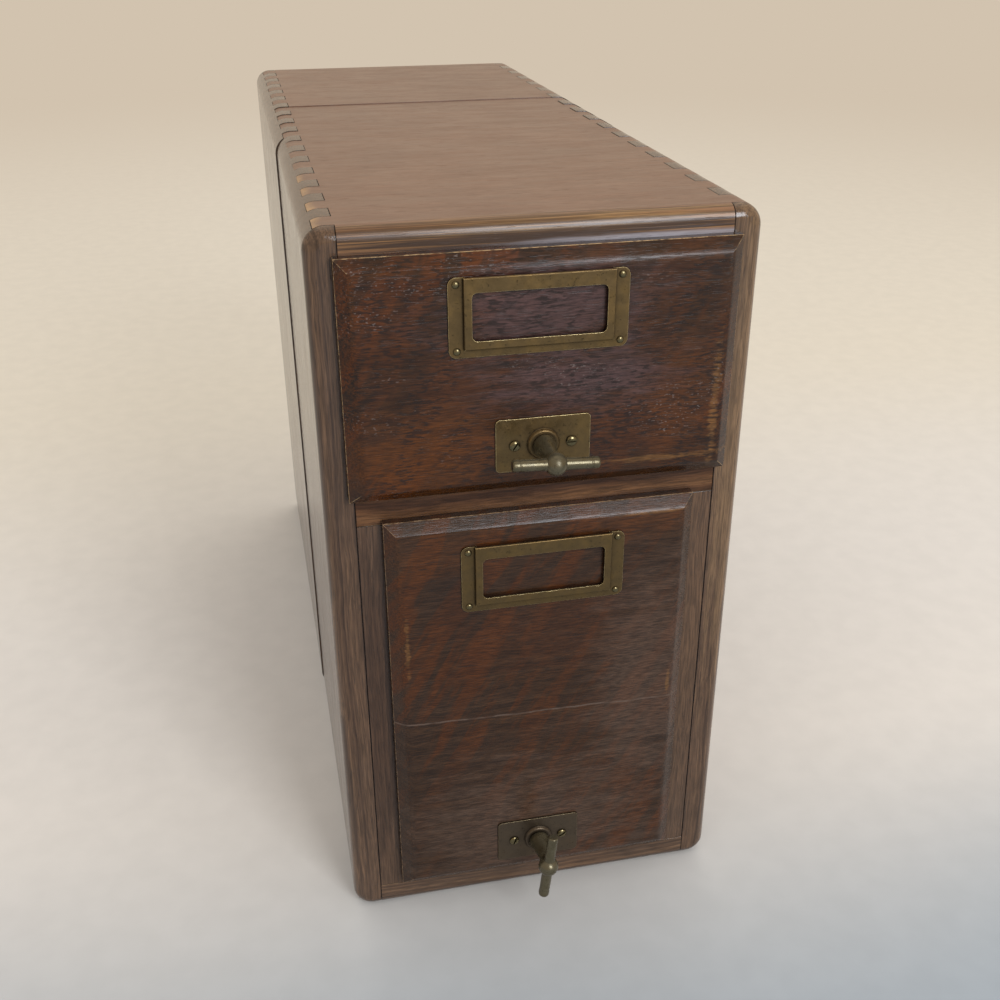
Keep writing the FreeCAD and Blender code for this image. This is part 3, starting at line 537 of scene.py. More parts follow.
@dataclass(frozen=True)
class OakFinish:
    """Old varnished oak: growth rings, fibres, open pores, ray figure, grime and rubbed edges, with painted
    shade in the corners, painted sheen, painted glints and painted highlight on the rubbed edges.
    """

    dark: Colour
    middle: Colour
    light: Colour
    worn_and_highlight: Colour
    sheen_haze: Colour
    sheen_haze_amount: float = 0.3
    pore_and_shade: Colour = tone(28, 18, 14)
    seam: Colour = tone(40, 27, 20)
    figure: Colour = tone(112, 54, 26)
    figure_amount: float = 0.0
    figure_turn: float = -30.0
    ring_scale: float = 330.0
    streak_length: float = 70.0
    streak_scale: float = 1300.0
    streak_amount: float = 0.2
    shade_amount: float = 0.12
    pore_amount: float = 0.5
    dash_amount: float = 0.0
    glint: Colour = tone(122, 108, 102)
    glint_amount: float = 0.0
    rough_low: float = 0.24
    rough_high: float = 0.36
    relief: float = 0.25
    relief_depth: float = 0.0004
    shine: float = 0.5
    grime_and_shade: float = 0.6
    grime_and_shade_reach: float = 0.006

    def material(self, name: str, grain: Grain, seed: int, heart: Triple, patches: Sequence[Patch] = (),
                 crack: Optional[Crack] = None) -> bpy.types.Material:
        """Makes the finish for one board.

        Args:
            name: The material's name.
            grain: The way the board's fibres run.
            seed: A number that makes the board unlike the others.
            heart: Where the tree's heart lies from the origin, in metres.
            patches: Local changes of tone.
            crack: A pale open line across the board, if it has one.

        Returns:
            The material.
        """
        tree = Tree(name)
        fibres = Fibres.of(tree, grain, seed)
        colour, ring = self.ground(fibres, heart)
        if self.figure_amount > 0.0:
            colour = self.rays(fibres, colour)
        for patch in patches:
            colour = patch.lay(fibres, colour)
        streak = fibres.noise(self.streak_length, self.streak_scale, bent=True, detail=3.0, rough=0.6)
        colour = tree.shaded(colour, streak, self.streak_amount)
        pores = fibres.noise(120.0, 2100.0, bent=True, detail=1.0)
        pit = tree.times(tree.step(pores, 0.6, 0.72), tree.step(ring, 0.35, 0.62, 0.35, 1.0))
        colour = tree.blend(tree.times(pit, self.pore_amount), colour, self.pore_and_shade)
        if self.dash_amount > 0.0:
            colour = self.dashes(fibres, colour)
        # painted highlights: small pale glints on the varnish
        if self.glint_amount > 0.0:
            colour = self.glints(fibres, colour)
        height = tree.math("SUBTRACT", tree.times(streak, 0.55), tree.times(pit, 0.6))
        if crack is not None:
            line, colour = crack.draw(tree, colour)
            height = tree.math("SUBTRACT", height, tree.times(line, 0.8))
        colour = self.edges(fibres, colour)
        gloss = fibres.noise(30.0, 90.0, detail=4.0, rough=0.65)
        rough = tree.step(gloss, 0.3, 0.72, self.rough_low, self.rough_high)
        rough = tree.math("ADD", rough, tree.times(pit, 0.2))
        tree.surface(Base_Color=colour, Roughness=rough, Specular_IOR_Level=self.shine)
        tree.relief(height, self.relief, self.relief_depth)
        return tree.material

    def ground(self, fibres: Fibres, heart: Triple) -> tuple[Socket, Socket]:
        """The wood's colour: growth rings with soft shading, and a patchy pale film of painted sheen.

        Args:
            fibres: The board's fibres.
            heart: Where the tree's heart lies from the origin, in metres.

        Returns:
            The colour and the ring pattern.
        """
        tree = fibres.tree
        along_trunk = fibres.grain.stretch(0.03, 1.0)
        place = tree.vector("ADD", tree.place, fibres.drift)
        trunk = tree.mapped(place, scale=along_trunk, shift=tuple(-v for v in heart))
        ring = tree.rings(tree.vector("LENGTH", trunk), self.ring_scale, 3.0)
        colour = tree.ramp(ring, [(0.3, self.dark), (0.5, self.middle), (0.7, self.light)])
        cloud = tree.noise(fibres.still, scale=24.0, detail=3.0, rough=0.6)
        colour = tree.shaded(colour, cloud, self.shade_amount)
        # painted sheen: a patchy pale film, greyer than the wood, standing in for light on the varnish
        film = tree.step(fibres.noise(10.0, 24.0, detail=4.0, rough=0.7), 0.42, 0.75, 0.0, self.sheen_haze_amount)
        return tree.blend(film, colour, self.sheen_haze), ring

    def slanted(self, fibres: Fibres, scale: Triple) -> Socket:
        """The board's places, turned to the slant of its ray figure and then scaled."""
        turned_place = fibres.tree.mapped(fibres.bent, turn=(0.0, self.figure_turn, 0.0))
        return fibres.tree.mapped(turned_place, scale=scale)

    def rays(self, fibres: Fibres, colour: Value) -> Socket:
        """Lays the ray figure of quarter-sawn oak over the colour.

        Args:
            fibres: The board's fibres.
            colour: The board's colour so far.

        Returns:
            The colour with the figure in it.
        """
        tree = fibres.tree
        flakes = tree.noise(self.slanted(fibres, (105.0, 30.0, 15.0)), detail=3.0, rough=0.6, warp=0.3)
        broad = tree.noise(fibres.still, scale=11.0, detail=2.0)
        figure = tree.times(tree.step(flakes, 0.45, 0.58), tree.step(broad, 0.34, 0.58, 0.2, 1.0))
        return tree.blend(tree.times(figure, self.figure_amount), colour, self.figure)

    def dashes(self, fibres: Fibres, colour: Value) -> Socket:
        """Lays short dark pore dashes, in slanting groups, over the colour.

        Args:
            fibres: The board's fibres.
            colour: The board's colour so far.

        Returns:
            The colour with the dashes in it.
        """
        tree = fibres.tree
        dash = tree.step(fibres.noise(230.0, 1000.0, bent=True, detail=1.5), 0.5, 0.62)
        group = tree.noise(self.slanted(fibres, (90.0, 30.0, 22.0)), detail=2.0)
        mask = tree.times(dash, tree.step(group, 0.36, 0.56, 0.1, 1.0))
        return tree.blend(tree.times(mask, self.dash_amount), colour, self.pore_and_shade)

    def glints(self, fibres: Fibres, colour: Value) -> Socket:
        """Paints small pale glints over the colour: painted highlights where the varnish catches the light.

        Args:
            fibres: The board's fibres.
            colour: The board's colour so far.

        Returns:
            The colour with the glints in it.
        """
        tree = fibres.tree
        speck = tree.step(fibres.noise(700.0, 1700.0, detail=1.0), 0.64, 0.72)
        mask = tree.times(speck, tree.step(fibres.noise(26.0, 60.0), 0.5, 0.66))
        return tree.blend(tree.times(mask, self.glint_amount), colour, self.glint)

    def edges(self, fibres: Fibres, colour: Value) -> Socket:
        """Paints shade and grime into the corners, pales the marked edges with wear and painted highlight,
        and draws the marked joints.

        Args:
            fibres: The board's fibres.
            colour: The board's colour so far.

        Returns:
            The colour with its corners, edges and joints.
        """
        tree = fibres.tree
        # painted shade with grime: corners that the ambient occlusion finds enclosed are darkened towards
        # the pore colour
        corner = tree.step(tree.hollow(self.grime_and_shade_reach), 0.25, 0.85, self.grime_and_shade, 0.0)
        colour = tree.blend(corner, colour, self.pore_and_shade)
        # rubbed wear with painted highlight: the marked edges turn pale, broken up by crumbs
        crumbs = fibres.noise(420.0, 700.0, detail=3.0, rough=0.6)
        rubbed_and_highlight = tree.times(tree.marked("wear"), tree.step(crumbs, 0.36, 0.58, 0.15, 0.9))
        colour = tree.blend(rubbed_and_highlight, colour, self.worn_and_highlight)
        smudge = tree.noise(fibres.still, scale=130.0, detail=3.0)
        joint = tree.times(tree.marked("joint"), tree.step(smudge, 0.3, 0.55, 0.45, 0.95))
        return tree.blend(joint, colour, self.seam)


@dataclass(frozen=True)
class BrassFinish:
    """Old lacquered brass: mottled olive tarnish, corners darkened with grime and painted shade, and
    brighter edges of rubbed brass and painted highlight.
    """

    tarnish: Colour
    metal: Colour
    bright: Colour
    dark: Colour = tone(38, 30, 20)
    rough_low: float = 0.28
    rough_high: float = 0.5
    grime_and_shade: float = 0.85
    grime_and_shade_reach: float = 0.004
    bare: float = 0.98
    dull: float = 0.82
    tarnish_amount: float = 0.75
    edge_amount: float = 0.85
    relief: float = 0.12
    relief_depth: float = 0.0002

    def material(self, name: str, seed: int) -> bpy.types.Material:
        """Makes the finish for one fitting.

        Args:
            name: The material's name.
            seed: A number that makes the fitting unlike the others.

        Returns:
            The material.
        """
        tree = Tree(name)
        shifted = tree.mapped(tree.place, shift=(seed * 0.117, seed * 0.071, seed * 0.193))
        spot = tree.noise(shifted, scale=900.0, detail=2.0)
        cloud = tree.noise(shifted, scale=170.0, detail=4.0, rough=0.62)
        cover = tree.step(cloud, 0.3, 0.62, 0.35, self.tarnish_amount)
        colour = tree.blend(cover, self.metal, self.tarnish)
        colour = tree.blend(tree.step(spot, 0.62, 0.74, 0.0, 0.6), colour, self.dark)
        # painted shade with grime: corners that the ambient occlusion finds enclosed are darkened
        grime_and_shade = tree.step(tree.hollow(self.grime_and_shade_reach), 0.45, 0.98, self.grime_and_shade, 0.0)
        colour = tree.blend(grime_and_shade, colour, self.dark)
        # rubbed brass with painted highlight: the marked edges are brightened as if catching the light
        patchy = tree.step(tree.noise(shifted, scale=420.0, detail=2.0), 0.3, 0.6, 0.5, self.edge_amount)
        colour = tree.blend(tree.times(tree.marked("wear"), patchy), colour, self.bright)
        film = tree.noise(shifted, scale=240.0, detail=4.0, rough=0.7)
        rough = tree.step(film, 0.3, 0.7, self.rough_low, self.rough_high)
        rough = tree.math("ADD", rough, tree.times(grime_and_shade, 0.25))
        metallic = tree.step(cover, 0.3, 0.8, self.bare, self.dull)
        tree.surface(Base_Color=colour, Roughness=rough, Metallic=metallic)
        rub = tree.noise(tree.mapped(shifted, scale=(300.0, 300.0, 1400.0)), detail=2.0)
        height = tree.math("ADD", tree.times(rub, 0.5), tree.times(spot, 0.5))
        tree.relief(height, self.relief, self.relief_depth)
        return tree.material


@dataclass(frozen=True)
class FloorPaper:
    """The pale studio floor: cream behind, darker and cooler in front as a painted shadow of the cabinet,
    evenly bright far away.
    """

    # painted shadow: the darker, bluish tone of the floor just in front of the cabinet
    front: Colour = tone(149, 153, 156)
    middle: Colour = tone(211, 200, 188)
    back: Colour = tone(213, 199, 179)
    far: Colour = tone(210, 195, 175)

    def material(self, name: str) -> bpy.types.Material:
        """Makes the floor's finish.

        Args:
            name: The material's name.

        Returns:
            The material.
        """
        tree = Tree(name)
        _, deep, _ = tree.axes(tree.place)
        reach = tree.math("ADD", deep, tree.swing(tree.noise(tree.place, scale=1.7, detail=2.0), 0.12))
        # the painted shadow in front of the cabinet fades into the middle tone
        colour = tree.blend(tree.step(reach, -0.35, -0.11), self.front, self.middle)
        colour = tree.blend(tree.step(reach, 0.0, 0.5), colour, self.back)
        fibre = tree.step(tree.noise(tree.place, scale=60.0, detail=3.0), 0.2, 0.8, 0.97, 1.02)
        colour = tree.blend(1.0, colour, tree.grey(fibre), "MULTIPLY")
        tree.surface(Base_Color=colour, Roughness=0.85, Specular_IOR_Level=0.2)
        glow = tree.nodes.new("ShaderNodeEmission")
        glow.inputs["Color"].default_value = self.far
        mix = tree.nodes.new("ShaderNodeMixShader")
        tree.links.new(tree.step(tree.vector("LENGTH", tree.place), 0.9, 2.6), mix.inputs["Fac"])
        tree.links.new(tree.shader.outputs["BSDF"], mix.inputs[1])
        tree.links.new(glow.outputs["Emission"], mix.inputs[2])
        tree.links.new(mix.outputs["Shader"], tree.output.inputs["Surface"])
        return tree.material


def place_piece(name: str, mesh: Mesh, material: bpy.types.Material, body: str,
                nodes: Iterable[str] = (), sharp: float = 32.0) -> bpy.types.Object:
    """Turns a finished mesh into a piece of the cabinet.

    Args:
        name: The piece's name.
        mesh: Its mesh, in place; it is freed.
        material: Its finish.
        body: The body that it moves with.
        nodes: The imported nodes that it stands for.
        sharp: Angle in degrees over which an edge stays crisp.

    Returns:
        The piece's object.
    """
    data = bpy.data.meshes.new(name)
    for face in mesh.faces:
        face.smooth = True
    mesh.to_mesh(data)
    mesh.free()
    data.set_sharp_from_angle(angle=math.radians(sharp))
    data.materials.append(material)
    piece = bpy.data.objects.new(name, data)
    bpy.context.scene.collection.objects.link(piece)
    weigh = piece.modifiers.new("even_shading", "WEIGHTED_NORMAL")
    weigh.keep_sharp = True
    weigh.weight = NORMAL_WEIGHT
    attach(piece, body)
    if nodes:
        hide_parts(*nodes)
    LOG.info("%s: %d faces on %s", name, len(data.polygons), body)
    return piece


def dress(node: str, material: bpy.types.Material) -> None:
    """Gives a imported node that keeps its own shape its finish.

    Args:
        node: The node's name.
        material: Its finish.
    """
    for holder in frame["nodes"][node].material_slots:
        holder.material = material
    LOG.info("%s: dressed in %s", node, material.name)


def merged(node: str) -> Mesh:
    """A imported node's shape as one clean mesh.

    Args:
        node: The node's name.

    Returns:
        Its mesh, with loose triangles joined into flat faces.
    """
    mesh = bmesh.new()
    mesh.from_mesh(frame["nodes"][node].data)
    bmesh.ops.remove_doubles(mesh, verts=mesh.verts, dist=MERGE_REACH)
    bmesh.ops.dissolve_limit(
        mesh,
        angle_limit=math.radians(1.0),
        verts=mesh.verts,
        edges=mesh.edges,
        use_dissolve_boundaries=False,
    )
    return mesh


def neighbours(node: str) -> BVHTree:
    """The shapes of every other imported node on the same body, for finding joints.

    Args:
        node: The node whose neighbours are wanted.

    Returns:
        A tree of their faces.
    """
    groups = frame["record"]["behaviour"]["bodies"]
    mates = next(names for names in groups.values() if node in names)
    crowd = bmesh.new()
    for name in mates:
        if name != node:
            crowd.from_mesh(frame["nodes"][name].data)
    found = BVHTree.FromBMesh(crowd)
    crowd.free()
    return found


def ease(mesh: Mesh, width: float, angle: float = 38.0, steps: int = 2,
         mates: Optional[BVHTree] = None) -> None:
    """Rounds every crisp outer edge a little and marks the new faces as a joint, or as rubbed with painted
    highlight.

    Args:
        mesh: The mesh to change.
        width: Width of the rounding in metres.
        angle: Edges sharper than this many degrees are rounded.
        steps: Faces across the rounding.
        mates: Neighbouring shapes; a rounding that touches one is a joint.
    """
    layers = mesh.faces.layers.float
    wear = layers.get("wear") or layers.new("wear")
    joint = layers.get("joint") or layers.new("joint")
    least = math.radians(angle)
    crisp = [e for e in mesh.edges if e.is_manifold and e.is_convex and e.calc_face_angle(0.0) > least]
    made = bmesh.ops.bevel(
        mesh,
        geom=crisp,
        offset=width,
        offset_type="OFFSET",
        segments=steps,
        profile=0.5,
        affect="EDGES",
        clamp_overlap=True,
        material=-1,
        loop_slide=True,
    )
    touch = width + JOINT_REACH
    for face in made["faces"]:
        near = mates is not None and mates.find_nearest(face.calc_center_median(), touch)[0] is not None
        face[joint if near else wear] = 1.0


def turned(profile: Profile, steps: int = 36) -> Mesh:
    """A lathe-turned shape about the y axis.

    Args:
        profile: Pairs of place along y and radius, in metres, from axis to axis.
        steps: Faces round the shape.

    Returns:
        The closed mesh.
    """
    mesh = bmesh.new()
    line = [mesh.verts.new((radius, along, 0.0)) for along, radius in profile]
    edges = [mesh.edges.new(pair) for pair in zip(line, line[1:])]
    bmesh.ops.spin(
        mesh,
        geom=line + edges,
        cent=(0, 0, 0),
        axis=(0, 1, 0),
        dvec=(0, 0, 0),
        angle=2 * math.pi,
        steps=steps,
        use_merge=True,
        use_duplicate=False,
    )
    bmesh.ops.remove_doubles(mesh, verts=mesh.verts, dist=MERGE_REACH)
    bmesh.ops.recalc_face_normals(mesh, faces=mesh.faces)
    return mesh


def arc(along: float, radius: float, start: float, end: float, count: int) -> list[tuple[float, float]]:
    """Points of an arc about the axis for a turned profile.

    Args:
        along: Place of the arc's centre along the axis.
        radius: The arc's radius.
        start: First angle in degrees, from the axis direction.
        end: Last angle in degrees.
        count: Number of points.

    Returns:
        Pairs of place along the axis and radius.
    """
    spread = [math.radians(start + (end - start) * i / (count - 1)) for i in range(count)]
    return [(along + radius * math.cos(a), max(0.0, radius * math.sin(a))) for a in spread]


def stepped(steps: Profile, radius: float) -> list[tuple[float, float]]:
    """A profile whose radii are given as shares of one radius."""
    return [(place, radius * share) for place, share in steps]


def join(first: Mesh, second: Mesh) -> Mesh:
    """Adds a second mesh to the first and frees it.

    Args:
        first: The mesh that grows.
        second: The mesh that is added.

    Returns:
        The first mesh.
    """
    data = bpy.data.meshes.new("joining")
    second.to_mesh(data)
    second.free()
    first.from_mesh(data)
    bpy.data.meshes.remove(data)
    return first


def moved(mesh: Mesh, place: Vector) -> Mesh:
    """Moves a mesh."""
    bmesh.ops.translate(mesh, vec=place, verts=mesh.verts)
    return mesh


def swung(mesh: Mesh, degrees: float, axis: str) -> Mesh:
    """Turns a mesh about an axis through the origin.

    Args:
        mesh: The mesh to turn.
        degrees: How far it turns.
        axis: X, Y or Z.

    Returns:
        The same mesh.
    """
    turn = Matrix.Rotation(math.radians(degrees), 3, axis)
    bmesh.ops.rotate(mesh, cent=(0, 0, 0), matrix=turn, verts=mesh.verts)
    return mesh


@dataclass(frozen=True)
class Palette:
    """The cabinet's finishes."""

    # paler than the other boards: partly painted sheen, the pale room that the varnished top reflects
    top: OakFinish = OakFinish(
        tone(108, 73, 51), tone(113, 77, 55), tone(118, 82, 59), worn_and_highlight=tone(138, 106, 72),
        sheen_haze=tone(118, 88, 68), pore_and_shade=tone(56, 36, 26), seam=tone(58, 40, 30), pore_amount=0.3,
        streak_amount=0.12, shade_amount=0.06, rough_low=0.28, rough_high=0.36, relief=0.12, grime_and_shade=0.5,
    )
    case: OakFinish = OakFinish(
        tone(60, 42, 30), tone(79, 57, 41), tone(96, 71, 51), worn_and_highlight=tone(134, 106, 78),
        sheen_haze=tone(86, 67, 54), sheen_haze_amount=0.35, ring_scale=760.0, streak_scale=1900.0,
        streak_amount=0.36, rough_low=0.1, rough_high=0.18, relief=0.14,
    )
    front: OakFinish = OakFinish(
        tone(39, 20, 8), tone(47, 26, 10), tone(55, 31, 13), worn_and_highlight=tone(166, 134, 94),
        sheen_haze=tone(64, 44, 35), figure=tone(82, 38, 5), figure_amount=0.7, dash_amount=0.75,
        glint_amount=0.45, rough_low=0.22, rough_high=0.31, shine=0.33, streak_length=150.0,
        streak_scale=2300.0, streak_amount=0.42,
    )
    lower: OakFinish = OakFinish(
        tone(42, 25, 13), tone(49, 30, 16), tone(55, 35, 20), worn_and_highlight=tone(140, 112, 84),
        sheen_haze=tone(62, 46, 36), figure=tone(76, 37, 9), figure_amount=0.65, pore_amount=0.6,
        dash_amount=0.25, rough_low=0.22, rough_high=0.31, shine=0.33, streak_length=150.0,
        streak_scale=2300.0, streak_amount=0.44,
    )
    rail: OakFinish = OakFinish(
        tone(58, 35, 21), tone(78, 50, 30), tone(98, 66, 41), worn_and_highlight=tone(124, 98, 72),
        sheen_haze=tone(76, 54, 40), rough_low=0.2, rough_high=0.32, shine=0.24, streak_amount=0.4,
    )
    box: OakFinish = OakFinish(
        tone(110, 82, 54), tone(132, 101, 68), tone(152, 121, 84), worn_and_highlight=tone(170, 142, 106),
        sheen_haze=tone(140, 118, 92), sheen_haze_amount=0.25, figure=tone(160, 130, 92), figure_amount=0.25,
        rough_low=0.45, rough_high=0.62,
    )
    sheet: BrassFinish = BrassFinish(
        tone(82, 66, 42), tone(128, 104, 67), tone(230, 206, 152), edge_amount=1.0,
    )
    plate: BrassFinish = BrassFinish(
        tone(76, 65, 53), tone(110, 96, 79), tone(150, 134, 104), edge_amount=0.7,
    )
    handle: BrassFinish = BrassFinish(
        tone(88, 80, 62), tone(104, 95, 73), tone(148, 138, 110), rough_low=0.24, rough_high=0.38,
        tarnish_amount=0.6, grime_and_shade=0.25, bare=0.85, dull=0.45,
    )
    pin: BrassFinish = BrassFinish(
        tone(78, 68, 46), tone(134, 122, 90), tone(184, 174, 140), rough_low=0.16, rough_high=0.3,
        tarnish_amount=0.4,
    )
    rod: BrassFinish = BrassFinish(
        tone(120, 98, 58), tone(164, 138, 84), tone(196, 172, 120), rough_low=0.22, rough_high=0.4,
        tarnish_amount=0.5,
    )
    steel: BrassFinish = BrassFinish(
        tone(92, 86, 78), tone(140, 136, 130), tone(180, 178, 172), dark=tone(58, 42, 32),
        rough_low=0.3, tarnish_amount=0.6,
    )
    paper: FloorPaper = FloorPaper()


@dataclass(frozen=True)
class Shrinkage:
    """How a board's outer face has drawn in towards its rear end, in metres."""

    axis: int
    inner: float
    outer: float
    start: float
    end: float
    depth: float

    def apply(self, mesh: Mesh) -> None:
        """Draws the outer face in, more and more towards the board's rear end.

        Args:
            mesh: The board's mesh.
        """
        for vert in mesh.verts:
            out = (vert.co[self.axis] - self.inner) / (self.outer - self.inner)
            back = (vert.co.y - self.start) / (self.end - self.start)
            drawn = self.depth * min(1.0, max(0.0, out)) * min(1.0, max(0.0, back))
            vert.co[self.axis] -= math.copysign(drawn, self.outer)


@dataclass
class Board:
    """One wooden part: its node, how its fibres run and where the tree's heart was."""

    node: str
    grain: Grain
    heart: Triple
    seed: int
    body: str = "case"
    slot: str = "oak_box"
    edge: float = 0.0003
    patches: Sequence[Patch] = ()
    crack: Optional[Crack] = None
    shrinkage: Optional[Shrinkage] = None
    lip_edge: float = -0.22645
    lip_reach: float = 0.0009
    lip_tilt: tuple[float, float] = (-0.72, -0.04)
    lip_area: float = 0.0004

    def build(self, finish: OakFinish) -> None:
        """Rounds the board's edges and gives it its finish.

        Args:
            finish: The oak finish.
        """
        mesh = merged(self.node)
        self.mark_lip(mesh)
        ease(mesh, self.edge, mates=neighbours(self.node))
        if self.shrinkage is not None:
            self.shrinkage.apply(mesh)
        name = f"{self.node}_oak"
        material = finish.material(name, self.grain, self.seed, self.heart, self.patches, self.crack)
        place_piece(f"{self.node}_finished", mesh, material, self.body, [self.node])

    def mark_lip(self, mesh: Mesh) -> None:
        """Marks the rubbed outer edge of a lipped front, also painted with highlight, found by its place,
        its tilt and its small area.

        Args:
            mesh: The board's mesh.
        """
        wear = mesh.faces.layers.float.new("wear")
        steep, shallow = self.lip_tilt
        for face in mesh.faces:
            at_edge = abs(face.calc_center_median().y - self.lip_edge) < self.lip_reach
            if at_edge and steep < face.normal.y < shallow and face.calc_area() < self.lip_area:
                face[wear] = 1.0


@dataclass
class Carcase:
    """The jointed case with its rails, stiles, runners and screwed back.

    A span runs along y, from where a front board begins to shrink to its joint with the rear board.
    """

    palette: Palette
    half_width: float = 0.089
    height: float = 0.33
    wall: float = 0.0125
    top_span: tuple[float, float] = (-0.2, 0.0594)
    top_shrunk: float = 0.00045
    side_span: tuple[float, float] = (-0.19, -0.0328)
    side_shrunk: float = 0.0007
    front_mm: float = -222.0
    screw_seed: int = 31

    def build(self) -> None:
        """Builds and dresses every part of the case."""
        finishes = {
            "oak_top": self.palette.top,
            "oak_case": self.palette.case,
            "oak_front": self.palette.rail,
            "oak_box": self.palette.box,
        }
        for board in self.boards():
            board.build(finishes[board.slot])
        dress("back_screws", self.palette.steel.material("back_screws_steel", self.screw_seed))

    def boards(self) -> list[Board]:
        """Lists the case's boards.

        Returns:
            The boards in the order in which they are put together.
        """
        across, upright = Grain.ALONG_X, Grain.ALONG_Z
        top = Board("top_front_board", across, (0.0, 0.3, 0.1), 1, slot="oak_top")
        top.patches = self.edge_marks()
        top.shrinkage = Shrinkage(2, self.height - self.wall, self.height, *self.top_span, self.top_shrunk)
        return [
            top,
            Board("top_rear_board", across, (0.0, -0.35, 0.15), 2, slot="oak_top"),
            Board("bottom_front_board", across, (0.0, 0.2, -0.3), 3, slot="oak_case"),
            Board("bottom_rear_board", across, (0.0, -0.3, -0.2), 4, slot="oak_case"),
            *self.flank("left", -1.0, 5, (), self.left_stile_mark()),
            *self.flank("right", 1.0, 11, (self.pale_right_edge(),), self.right_stile_mark()),
            Board("middle_rail", across, (0.0, 0.2, 0.5), 20, slot="oak_front"),
            Board("rear_rail", across, (0.0, -0.2, 0.4), 21),
            Board("upper_stop", across, (0.0, -0.2, 0.2), 22),
            Board("lower_stop", across, (0.0, -0.1, 0.3), 23),
            Board("back_panel", upright, (0.25, -0.1, 0.0), 24, slot="oak_case"),
        ]

    def flank(self, side: str, way: float, seed: int, edge: Sequence[Patch], stile: Patch) -> list[Board]:
        """One side of the case, with the strips that carry and guide the drawers.

        Args:
            side: The side's name.
            way: -1 for left and 1 for right.
            seed: The first board's seed.
            edge: Marks on the side boards.
            stile: The mark on the stile.

        Returns:
            The side's boards.
        """
        upright, deep = Grain.ALONG_Z, Grain.ALONG_Y
        parts = (
            ("side_front_board", upright, (0.15, -0.25, 0.0), "oak_case", edge),
            ("side_rear_board", upright, (0.15, 0.22, 0.0), "oak_case", edge),
            ("stile", upright, (0.3, 0.1, 0.0), "oak_case", (stile,)),
            ("runner", deep, (0.2, 0.0, 0.1), "oak_box", ()),
            ("guide", deep, (0.25, 0.0, 0.2), "oak_box", ()),
            ("wear_strip", deep, (0.2, 0.0, -0.1), "oak_box", ()),
        )
        boards = [
            Board(f"{side}_{part}", grain, (way * x, y, z), place, slot=slot, patches=marks)
            for place, (part, grain, (x, y, z), slot, marks) in enumerate(parts, seed)
        ]
        inner, outer = way * (self.half_width - self.wall), way * self.half_width
        boards[0].shrinkage = Shrinkage(0, inner, outer, *self.side_span, self.side_shrunk)
        return boards

    def edge_marks(self) -> tuple[Patch, ...]:
        """The marks along the top board's rubbed front edge and its left rounding.

        Returns:
            Gold and dark patches of wear, a bluish patch of painted reflection, and gold finger patches of
            wear and painted highlight.
        """
        y = self.front_mm
        return (
            Patch(tone(142, 100, 54), (0.0, y, 324.0), (150.0, 7.0, 8.5), 0.95, 0.2, 16.0, 500.0),
            Patch(tone(48, 29, 17), (-10.0, y, 324.0), (150.0, 6.0, 7.0), 0.95, 1.7, 9.0, 1000.0),
            Patch(tone(138, 104, 62), (0.0, -220.0, 328.0), (110.0, 4.0, 4.0), 0.7, 1.6, 10.0, 1000.0),
            Patch(tone(70, 44, 24), (-20.0, -221.0, 328.0), (130.0, 5.0, 5.0), 0.85, 2.2, 12.0, 1500.0),
            # painted reflection: a bluish band along the lower front edge, where the varnish mirrors the
            # window
            Patch(tone(150, 144, 148), (48.0, y, 319.0), (76.0, 4.0, 4.4), 0.9, 0.6, 20.0, 700.0),
            # wear with painted highlight: golden fingers along the left rounding
            Patch(tone(184, 142, 92), (-84.0, -200.0, 326.0), (5.0, 130.0, 7.0), 0.8, 0.6, 60.0, 60.0),
        )

    def left_stile_mark(self) -> Patch:
        """The darker tone of the left stile."""
        place, reach = (-70.0, self.front_mm, 120.0), (14.0, 8.0, 130.0)
        return Patch(tone(50, 30, 18), place, reach, 0.6, 0.6, across=500.0)

    def right_stile_mark(self) -> Patch:
        """The paler tone of the right stile."""
        place, reach = (70.0, self.front_mm, 150.0), (14.0, 8.0, 120.0)
        return Patch(tone(96, 70, 49), place, reach, 0.5, 0.8, across=500.0)

    def pale_right_edge(self) -> Patch:
        """The paler front edge of the right side."""
        place, reach = (84.0, self.front_mm, 240.0), (12.0, 22.0, 160.0)
        return Patch(tone(122, 94, 66), place, reach, 0.6, 0.9, across=500.0)


@dataclass
class LabelHolder:
    """A pressed brass frame for a card label, with four domed pins."""

    drawer: str
    finish: BrassFinish
    pin_finish: BrassFinish
    seed: int
    edge: float = 0.00036
    pin_radius: float = 0.00145
    crown: Profile = ((0.0, 0.0), (0.00006, 0.4), (0.00022, 0.72), (0.00048, 0.93), (0.00075, 1.0))
    neck: Profile = ((0.0009, 1.0), (0.001, 0.52))
    shank: float = 0.45
    point: float = 0.001
    facets: int = 20

    def build(self) -> None:
        """Softens the pressed frame's edges, then sets the pins."""
        body, node = f"{self.drawer}_drawer", f"{self.drawer}_label_holder"
        mesh = merged(node)
        ease(mesh, self.edge, angle=40.0, steps=3)
        material = self.finish.material(f"{node}_brass", self.seed)
        place_piece(f"{self.drawer}_label_frame", mesh, material, body, [node])
        self.pins(body)

    def pins(self, body: str) -> None:
        """Sets the four domed pins that hold the frame.

        Args:
            body: The drawer's body.
        """
        node = f"{self.drawer}_label_pins"
        low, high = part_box(f"{self.drawer}_label_pins")
        reach, length = self.pin_radius, high.y - low.y
        outline = stepped((*self.crown, *self.neck, (length - self.point, self.shank), (length, 0.0)), reach)
        mesh = bmesh.new()
        for x in (low.x + reach, high.x - reach):
            for z in (low.z + reach, high.z - reach):
                join(mesh, moved(turned(outline, self.facets), Vector((x, low.y, z))))
        material = self.pin_finish.material(f"{node}_brass", self.seed + 1)
        place_piece(f"{self.drawer}_domed_pins", mesh, material, body, [node])


